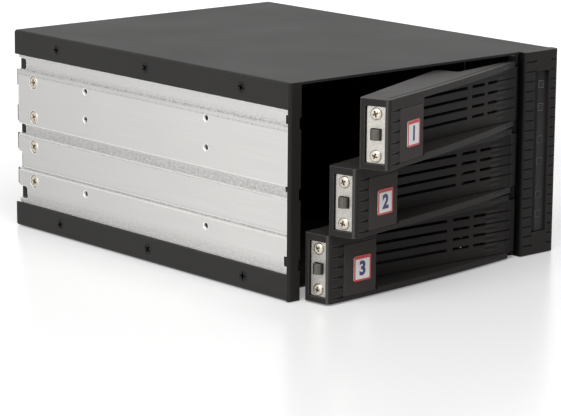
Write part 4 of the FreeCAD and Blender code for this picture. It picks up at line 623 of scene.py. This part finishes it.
def new_piece(name, bm, body, finishes, smooth_angle=40.0):
    """Object from a bmesh in the row frame, riding on a body, with a finish for each material index."""
    mesh = bpy.data.meshes.new(name)
    bmesh.ops.recalc_face_normals(bm, faces=bm.faces)
    bm.to_mesh(mesh)
    bm.free()
    piece = bpy.data.objects.new(name, mesh)
    bpy.context.scene.collection.objects.link(piece)
    for finish in finishes:
        mesh.materials.append(FINISHES[finish])
    mesh.shade_smooth()
    mesh.set_sharp_from_angle(angle=math.radians(smooth_angle))
    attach(piece, body)
    return piece


def point_round(centre, side, up, radius, angle):
    """Point at a radius and an angle round a centre."""
    return centre + side * (radius * math.cos(angle)) + up * (radius * math.sin(angle))


def ring(bm, centre, side, up, radius, count):
    """Corners evenly round a centre."""
    return [bm.verts.new(point_round(centre, side, up, radius, 2 * math.pi * k / count)) for k in range(count)]


def join_rings(bm, rings):
    """Faces between each ring of corners and the next."""
    faces = []
    for near, far in zip(rings, rings[1:]):
        for k in range(len(near)):
            after = (k + 1) % len(near)
            faces.append(bm.faces.new((near[k], near[after], far[after], far[k])))
    return faces


def solids_of(node):
    """The corners of each separate solid of a CAD node, from left to right, front to back and upwards."""
    bm = bmesh.new()
    bm.from_mesh(frame["nodes"][node].data)
    bmesh.ops.remove_doubles(bm, verts=bm.verts, dist=WELD_MM * MM)
    found = []
    left = set(bm.verts)
    for first in bm.verts:
        if first not in left:
            continue
        left.remove(first)
        stack = [first]
        points = []
        while stack:
            vert = stack.pop()
            points.append(vert.co.copy())
            for link in vert.link_edges:
                other = link.other_vert(vert)
                if other in left:
                    left.remove(other)
                    stack.append(other)
        found.append(points)
    bm.free()
    return sorted(found, key=lambda points: [round(min(p[i] for p in points), 4) for i in range(3)])


def screw_at(points, axis):
    """Where the outer end of a screw is, given its corners and the direction it is driven in."""
    along = [p.dot(axis) for p in points]
    low = min(along)
    outer = [p for p, a in zip(points, along) if a < low + HEAD_MM * MM]
    middle = sum(outer, Vector()) / len(outer)
    return middle, max(along) - low


def cross_recess(width, arm):
    """Outline of a cross recess with arms of a width and reach."""
    half = width / 2
    outline = []
    for quarter in range(4):
        turn = math.radians(90 * quarter)
        for a, b in ((arm, -half), (arm, half), (half, half)):
            outline.append((a * math.cos(turn) - b * math.sin(turn), a * math.sin(turn) + b * math.cos(turn)))
    return outline


def add_screw(bm, place, axis, profile, recess, depth, turn, sides=40):
    """A cross recessed screw: profile holds (distance driven, radius) from the crown's rim to the tip."""
    side = UP.cross(axis).normalized()
    up = axis.cross(side)
    rings = [ring(bm, place + axis * along, side, up, radius, sides) for along, radius in profile]
    join_rings(bm, rings)
    bm.faces.new(rings[-1])
    mouth = place + axis * profile[0][0]
    floor = place + axis * (profile[0][0] + depth)
    top = []
    bottom = []
    for a, b in recess:
        radius = math.hypot(a, b)
        angle = math.atan2(b, a) + turn
        top.append(bm.verts.new(point_round(mouth, side, up, radius, angle)))
        bottom.append(bm.verts.new(point_round(floor, side, up, radius * 0.45, angle)))
    # the recess takes the second, darker finish: painted shade
    for face in (*join_rings(bm, (top, bottom)), bm.faces.new(bottom)):
        face.material_index = 1
    edges = [bm.edges.get((loop[k], loop[(k + 1) % len(loop)])) for loop in (top, rings[0])
             for k in range(len(loop))]
    bmesh.ops.triangle_fill(bm, use_beauty=True, edges=edges)


def pan_profile(head, rise, shank, length):
    """Crown, rim and shank of a pan head screw, measured from its outer end."""
    radius = head / 2
    return [(0.0, radius * 0.62), (rise * 0.12, radius * 0.8), (rise * 0.42, radius * 0.95),
            (rise * 0.75, radius), (rise, radius), (rise, shank / 2), (length - shank * 0.2, shank / 2),
            (length, shank * 0.3)]


def flush_profile(head, rise, shank, length):
    """Countersunk screw measured from its flat outer face, with a broken edge."""
    radius = head / 2
    return [(0.0, radius * 0.86), (0.06 * MM, radius), (rise, shank / 2), (length - shank * 0.2, shank / 2),
            (length, shank * 0.3)]


def fit_screws(node, body, finish, head, rise, shank, arm_width, arm_reach, recess_depth, turn,
               first=0.0, axis=None, profile=pan_profile):
    """Round screws with cross recesses in place of a CAD node of plain ones, each turned on from the last.

    Sizes are in millimetres and turns in radians. Without an axis, the screws are driven in from the sides.
    """
    bm = bmesh.new()
    recess = cross_recess(arm_width * MM, arm_reach * MM)
    for k, points in enumerate(solids_of(node)):
        driven = Vector((-math.copysign(1, points[0].x), 0, 0)) if axis is None else axis
        place, length = screw_at(points, driven)
        add_screw(bm, place, driven, profile(head * MM, rise * MM, shank * MM, length), recess,
                  recess_depth * MM, first + turn * k)
    piece = new_piece(node + "_" + finish, bm, body, (finish, finish + "_recess"))
    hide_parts(node)


def rounded_outline(half_width, half_height, corner, steps=5):
    """Points of a rectangle with round corners, anticlockwise from its right side."""
    points = []
    for sx, sy, start in ((1, 1, 0), (-1, 1, 90), (-1, -1, 180), (1, -1, 270)):
        for k in range(steps + 1):
            angle = math.radians(start + 90 * k / steps)
            points.append((sx * (half_width - corner) + corner * math.cos(angle),
                           sy * (half_height - corner) + corner * math.sin(angle)))
    return points


def front_plane(node, toward):
    """Middle, outward direction, level direction, width and height of the face that looks a given way."""
    mesh = frame["nodes"][node].data
    best = max((p.area * max(p.normal.dot(toward), 0.0), tuple(p.normal)) for p in mesh.polygons)
    outward = Vector(best[1])
    level = max(mesh.vertices[i].co.dot(outward) for p in mesh.polygons for i in p.vertices)
    across = UP.cross(outward).normalized()
    points = [v.co for v in mesh.vertices if abs(v.co.dot(outward) - level) < LEVEL_MM * MM]
    sides = [p.dot(across) for p in points]
    ups = [p.z for p in points]
    middle = across * ((min(sides) + max(sides)) / 2) + outward * level
    middle.z += (min(ups) + max(ups)) / 2
    return middle, outward, across, max(sides) - min(sides), max(ups) - min(ups)


class DRIVECAGE_OT_finishes(bpy.types.Operator):
    """Make every finish of the cage"""
    bl_idname = "drivecage.finishes"
    bl_label = "Make finishes"

    def execute(self, context):
        make_finishes(context)
        return {"FINISHED"}


class DRIVECAGE_OT_shell(bpy.types.Operator):
    """Coat the covers, brush the side panels, and add their screws and threads"""
    bl_idname = "drivecage.shell"
    bl_label = "Covers and side panels"

    def execute(self, context):
        dress("powder", "top_cover", "bottom_cover")
        dress("aluminium", "side_panel_left", "side_panel_right")
        fit_screws("cover_screws", "chassis", "black", head=5.3, rise=1.0, shank=2.9,
                   arm_width=0.75, arm_reach=1.45, recess_depth=1.2, turn=0.3, profile=flush_profile)
        fit_screws("panel_screws", "chassis", "nickel", head=5.6, rise=0.95, shank=2.9,
                   arm_width=0.8, arm_reach=1.5, recess_depth=0.8, turn=0.37, first=0.4)
        self.case_threads()
        return {"FINISHED"}

    def case_threads(self):
        """Threads of the tapped case holes, with a bright chamfer at their mouths."""
        bm = bmesh.new()
        for mount in frame["record"]["mounts"]:
            if mount["kind"] != "bolt_pattern":
                continue
            sizes = mount["dims"]
            rows = (-0.5, 0.5) if sizes["count"] == 4 else (0,)
            for row in rows:
                for column in (-0.5, 0.5):
                    place = Vector(mount["pos_m"])
                    place.y += column * sizes["spacing_x_mm"] * MM
                    place.z += row * sizes.get("spacing_y_mm", 0) * MM
                    radius = (sizes["hole_r_mm"] - COLLAR_GAP_MM) * MM
                    self.one_thread(bm, place, -Vector(mount["axis"]), radius)
        new_piece("case_hole_threads", bm, "chassis", ("aluminium",), smooth_angle=30.0)

    def one_thread(self, bm, place, inward, radius, count=28):
        """Threaded collar of one tapped hole: its chamfer, then two turns, as (mm driven, radius)."""
        crest = radius - 0.26 * MM
        root = radius - 0.03 * MM
        profile = [(0.02, radius), (0.02, root), (0.22, crest)]
        for start in (THREAD_START_MM, THREAD_START_MM + THREAD_PITCH_MM):
            profile += [(start, crest), (start + 0.14, root), (start + 0.2, root), (start + 0.34, crest)]
        profile.append((profile[-1][0], radius))
        side = UP.cross(inward).normalized()
        up = inward.cross(side)
        rings = [ring(bm, place + inward * (along * MM), side, up, size, count) for along, size in profile]
        join_rings(bm, rings + rings[:1])


class DRIVECAGE_OT_front(bpy.types.Operator):
    """Finish the post, the indicator column and what it holds"""
    bl_idname = "drivecage.front"
    bl_label = "Post and indicator column"

    def execute(self, context):
        dress("frame_abs", "front_post", "indicator_column")
        dress("smoked", "indicator_strip")
        dress("pipe", "status_leds")
        dress("board", "led_board")
        dress("nickel", "hinge_pin")
        bm = bmesh.new()
        bm.from_mesh(frame["nodes"]["light_pipes"].data)
        bmesh.ops.remove_doubles(bm, verts=bm.verts, dist=WELD_MM * MM)
        bmesh.ops.dissolve_limit(bm, angle_limit=math.radians(1), verts=bm.verts, edges=bm.edges)
        bm.normal_update()
        near = min(v.co.y for v in bm.verts)
        fronts = [f for f in bm.faces if f.normal.y < -0.99 and f.calc_center_median().y < near + LEVEL_MM * MM]
        rims = bmesh.ops.inset_individual(bm, faces=fronts, thickness=PIPE_RIM_MM * MM)
        for face in rims["faces"]:
            face.material_index = 1
        piece = new_piece("light_pipes_polished", bm, "chassis", ("pipe", "pipe_rim"),
                          smooth_angle=20.0)
        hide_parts("light_pipes")
        return {"FINISHED"}


class DRIVECAGE_OT_doors(bpy.types.Operator):
    """Finish the three doors with their plates, screws, catches and numbers"""
    bl_idname = "drivecage.doors"
    bl_label = "Doors"

    def execute(self, context):
        for name in DOORS:
            self.one_door(context, name)
        return {"FINISHED"}

    def one_door(self, context, name):
        """Finishes of one door's own pieces, and its screws, spring and number."""
        prefix = name + "_door_"
        dress("door_abs", prefix + "body")
        dress("grip_abs", prefix + "grip_panel")
        dress("label", prefix + "label")
        dress("end_plate", prefix + "end_plate")
        dress("catch", prefix + "catch_bolt")
        angle = door_turn(name)
        axis = Vector((math.cos(angle), math.sin(angle), 0))
        fit_screws(prefix + "end_screws", name + "_door", "nickel", head=4.8, rise=1.0, shank=2.4,
                   arm_width=0.7, arm_reach=1.25, recess_depth=0.8, turn=0.9, first=angle, axis=axis)
        self.spring(name, axis)
        self.frame_and_number(context.scene.cage_front, name)

    def spring(self, name, axis, steps=24, sides=8):
        """Round wire spring behind the catch, built at the CAD spring's length at rest: it rides on the door, and
        does not shorten as the bolt slides in.
        """
        node = name + "_door_catch_spring"
        corners = [v.co for v in frame["nodes"][node].data.vertices]
        across = UP.cross(axis).normalized()
        up = axis.cross(across)
        spans = [[p.dot(way) for p in corners] for way in (axis, across, up)]
        lows = [min(span) for span in spans]
        highs = [max(span) for span in spans]
        start = axis * lows[0] + across * ((lows[1] + highs[1]) / 2) + up * ((lows[2] + highs[2]) / 2)
        length = highs[0] - lows[0]
        wire = SPRING_WIRE_MM * MM / 2
        rise = (length - 2 * wire) / (SPRING_TURNS * steps)
        bm = bmesh.new()
        rings = []
        for k in range(SPRING_TURNS * steps + 1):
            angle = 2 * math.pi * k / steps
            outward = across * math.cos(angle) + up * math.sin(angle)
            centre = start + axis * (wire + rise * k) + outward * (SPRING_RADIUS_MM * MM)
            rings.append(ring(bm, centre, outward, axis, wire, sides))
        join_rings(bm, rings)
        bm.faces.new(rings[0])
        bm.faces.new(rings[-1])
        piece = new_piece(node + "_round", bm, name + "_door", ("spring",))
        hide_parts(node)
        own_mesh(piece)

    def frame_and_number(self, front, name):
        """Plain bay number in a red frame, printed on the label."""
        middle, outward, across, width, height = front_plane(name + "_door_label", Vector((0, -1, 0)))
        lift = outward * (INK_MM * MM)
        side = front.frame_width
        head = side * FRAME_HEAD
        drop = UP * ((side - head) / 2)
        outer = rounded_outline(width / 2, height / 2, front.label_corner)
        inner = rounded_outline(width / 2 - side, height / 2 - (side + head) / 2, front.label_corner * 0.4)
        bm = bmesh.new()
        rings = []
        for outline, place, share in ((outer, middle, 0.1), (outer, middle, 1.0),
                                      (inner, middle + drop, 1.0), (inner, middle + drop, 0.1)):
            rings.append([bm.verts.new(place + lift * share + across * a + UP * b) for a, b in outline])
        join_rings(bm, rings + rings[:1])
        new_piece(name + "_door_label_frame", bm, name + "_door", ("label_frame",))
        curve = bpy.data.curves.new(name + "_numeral", "FONT")
        curve.body = BAY_NUMBERS[name]
        curve.size = front.numeral_height / DIGIT_SHARE
        curve.extrude = DIGIT_DEPTH_MM * MM
        curve.offset = DIGIT_BOLD_MM * MM
        curve.align_x = "CENTER"
        curve.align_y = "CENTER"
        drawn = bpy.data.objects.new(name + "_numeral", curve)
        bpy.context.scene.collection.objects.link(drawn)
        bpy.context.view_layer.update()
        shape = bpy.data.meshes.new_from_object(drawn.evaluated_get(bpy.context.evaluated_depsgraph_get()))
        bpy.data.objects.remove(drawn)
        bm = bmesh.new()
        bm.from_mesh(shape)
        bpy.data.meshes.remove(shape)
        turn = Matrix((across, UP, outward)).transposed().to_4x4()
        bm.transform(Matrix.Translation(middle + drop + lift) @ turn)
        new_piece(name + "_door_label_number", bm, name + "_door", ("numeral",))


class DRIVECAGE_OT_bays(bpy.types.Operator):
    """Finish the rails, the divider and the backplane with its sockets"""
    bl_idname = "drivecage.bays"
    bl_label = "Bays and backplane"

    def execute(self, context):
        dress("rail_abs", "drive_rail_left", "drive_rail_right")
        dress("zinc", "divider_wall")
        dress("board", "backplane_board")
        dress("socket_nylon", "drive_sockets", "data_ports")
        dress("power_nylon", "power_ports")
        dress("brass", "board_standoffs")
        fit_screws("board_screws", "chassis", "nickel", head=5.2, rise=1.6, shank=2.4,
                   arm_width=0.75, arm_reach=1.4, recess_depth=1.0, turn=0.5, axis=Vector((0, 1, 0)))
        return {"FINISHED"}


class DRIVECAGE_OT_rear(bpy.types.Operator):
    """Finish the rear bracket and the fan"""
    bl_idname = "drivecage.rear"
    bl_label = "Rear bracket and fan"

    def execute(self, context):
        dress("powder", "rear_bracket")
        dress("fan_nylon", "fan_frame", "fan_rotor")
        fit_screws("fan_screws", "chassis", "black", head=6.8, rise=1.6, shank=3.9,
                   arm_width=0.95, arm_reach=1.9, recess_depth=1.1, turn=0.6, axis=Vector((0, -1, 0)))
        return {"FINISHED"}


# Stage

def photo_camera():
    """Camera at the photograph's viewing angle."""
    azimuth = math.radians(CAMERA_AZIMUTH)
    elevation = math.radians(CAMERA_ELEVATION)
    roll = math.radians(CAMERA_ROLL)
    back = Vector((math.sin(azimuth) * math.cos(elevation), -math.cos(azimuth) * math.cos(elevation),
                   math.sin(elevation)))
    level = Vector((math.cos(azimuth), math.sin(azimuth), 0))
    upright = back.cross(level)
    right = level * math.cos(roll) + upright * math.sin(roll)
    up = upright * math.cos(roll) - level * math.sin(roll)
    aside, above, behind = (a * MM for a in CAMERA_ASIDE_MM)
    data = bpy.data.cameras.new("photo_camera")
    data.sensor_width = SENSOR_MM
    data.lens = FOCAL_PIXELS / PHOTO_WIDTH * SENSOR_MM
    data.clip_start = 0.01
    data.clip_end = 50.0
    camera = bpy.data.objects.new("photo_camera", data)
    bpy.context.scene.collection.objects.link(camera)
    turn = Matrix((right, up, back)).transposed().to_4x4()
    camera.matrix_world = Matrix.Translation(right * aside + up * above + back * behind) @ turn
    bpy.context.scene.camera = camera


def softbox(name, place, target, size, power):
    """Rectangular area light aimed at a point."""
    data = bpy.data.lights.new(name, "AREA")
    data.shape = "RECTANGLE"
    data.size, data.size_y = size
    data.energy = power
    lamp = bpy.data.objects.new(name, data)
    bpy.context.scene.collection.objects.link(lamp)
    aim = (Vector(target) - Vector(place)).to_track_quat("-Z", "Y")
    lamp.matrix_world = Matrix.Translation(place) @ aim.to_matrix().to_4x4()


def pale_floor(size):
    """White sheet with a faint gloss, lifted to the white of the background for the camera."""
    bm = bmesh.new()
    bmesh.ops.create_grid(bm, x_segments=4, y_segments=4, size=size / 2)
    mesh = bpy.data.meshes.new("floor")
    bm.to_mesh(mesh)
    bm.free()
    floor = bpy.data.objects.new("floor", mesh)
    floor.location.z = CAD_BOX[0].z - FLOOR_GAP_MM * MM
    bpy.context.scene.collection.objects.link(floor)
    material, tree, place = start_material("white_acrylic_sheet")
    path = add(tree, "ShaderNodeLightPath").outputs
    seen = add(tree, "ShaderNodeMath", {0: path["Is Camera Ray"], 1: path["Is Glossy Ray"]}, operation="MAXIMUM")
    away = add(tree, "ShaderNodeVectorMath", {0: place}, operation="LENGTH")
    lift = add(tree, "ShaderNodeMapRange", {
        "Value": away, "From Min": 0.25, "From Max": 0.9, "To Min": 0.24, "To Max": 0.7})
    shader = add(tree, "ShaderNodeBsdfPrincipled", {
        "Base Color": linear("#e6e6e6"), "Roughness": 0.25, "Emission Color": grey(1.0),
        "Emission Strength": add(tree, "ShaderNodeMath", {0: seen, 1: lift}, operation="MULTIPLY")})
    add(tree, "ShaderNodeOutputMaterial", {"Surface": shader})
    mesh.materials.append(material)


def white_world(level):
    """Even white surroundings: full white where seen or mirrored, softer where they light the object."""
    world = bpy.data.worlds.new("studio")
    bpy.context.scene.world = world
    world.use_nodes = True
    tree = world.node_tree
    tree.nodes.clear()
    path = add(tree, "ShaderNodeLightPath").outputs
    seen = add(tree, "ShaderNodeMath", {0: path["Is Camera Ray"], 1: path["Is Glossy Ray"]}, operation="MAXIMUM")
    shown = add(tree, "ShaderNodeMath", {0: seen, 1: path["Is Transmission Ray"]}, operation="MAXIMUM")
    strength = add(tree, "ShaderNodeMapRange", {"Value": shown, "To Min": level, "To Max": 1.0})
    sky = add(tree, "ShaderNodeBackground", {"Color": grey(1.0), "Strength": strength})
    add(tree, "ShaderNodeOutputWorld", {"Surface": sky})


class DRIVECAGE_OT_stage(bpy.types.Operator):
    """Set up the pale floor, the soft light and the photograph's camera"""
    bl_idname = "drivecage.stage"
    bl_label = "Studio stage"

    def execute(self, context):
        stage = context.scene.cage_stage
        context.scene.view_settings.view_transform = "Standard"
        white_world(stage.world_level)
        pale_floor(stage.floor_size)
        softbox("key_softbox", *KEY_LAMP, stage.key_power)
        softbox("side_softbox", *SIDE_LAMP, stage.side_power)
        photo_camera()
        return {"FINISHED"}


STEPS = (DRIVECAGE_OT_finishes, DRIVECAGE_OT_shell, DRIVECAGE_OT_front, DRIVECAGE_OT_doors, DRIVECAGE_OT_bays,
         DRIVECAGE_OT_rear, DRIVECAGE_OT_stage)


class DRIVECAGE_PT_panel(bpy.types.Panel):
    """Steps and settings of the drive cage"""
    bl_label = "Drive Cage"
    bl_space_type = "VIEW_3D"
    bl_region_type = "UI"
    bl_category = "Drive Cage"

    def draw(self, context):
        layout = self.layout
        for step in STEPS:
            layout.operator(step.bl_idname)
        for group in (context.scene.cage_shell, context.scene.cage_front, context.scene.cage_stage):
            for name in group.__annotations__:
                layout.prop(group, name)


CLASSES = (ShellFinish, FrontFinish, StageSettings, *STEPS, DRIVECAGE_PT_panel)


def register():
    for cls in CLASSES:
        bpy.utils.register_class(cls)
    bpy.types.Scene.cage_shell = PointerProperty(type=ShellFinish)
    bpy.types.Scene.cage_front = PointerProperty(type=FrontFinish)
    bpy.types.Scene.cage_stage = PointerProperty(type=StageSettings)


def unregister():
    del bpy.types.Scene.cage_stage
    del bpy.types.Scene.cage_front
    del bpy.types.Scene.cage_shell
    for cls in reversed(CLASSES):
        bpy.utils.unregister_class(cls)


def main():
    register()
    for step in STEPS:
        group, name = step.bl_idname.split(".")
        if getattr(getattr(bpy.ops, group), name)() != {"FINISHED"}:
            raise RuntimeError(step.bl_label + " didn't finish")


if __name__ == "__main__":
    main()
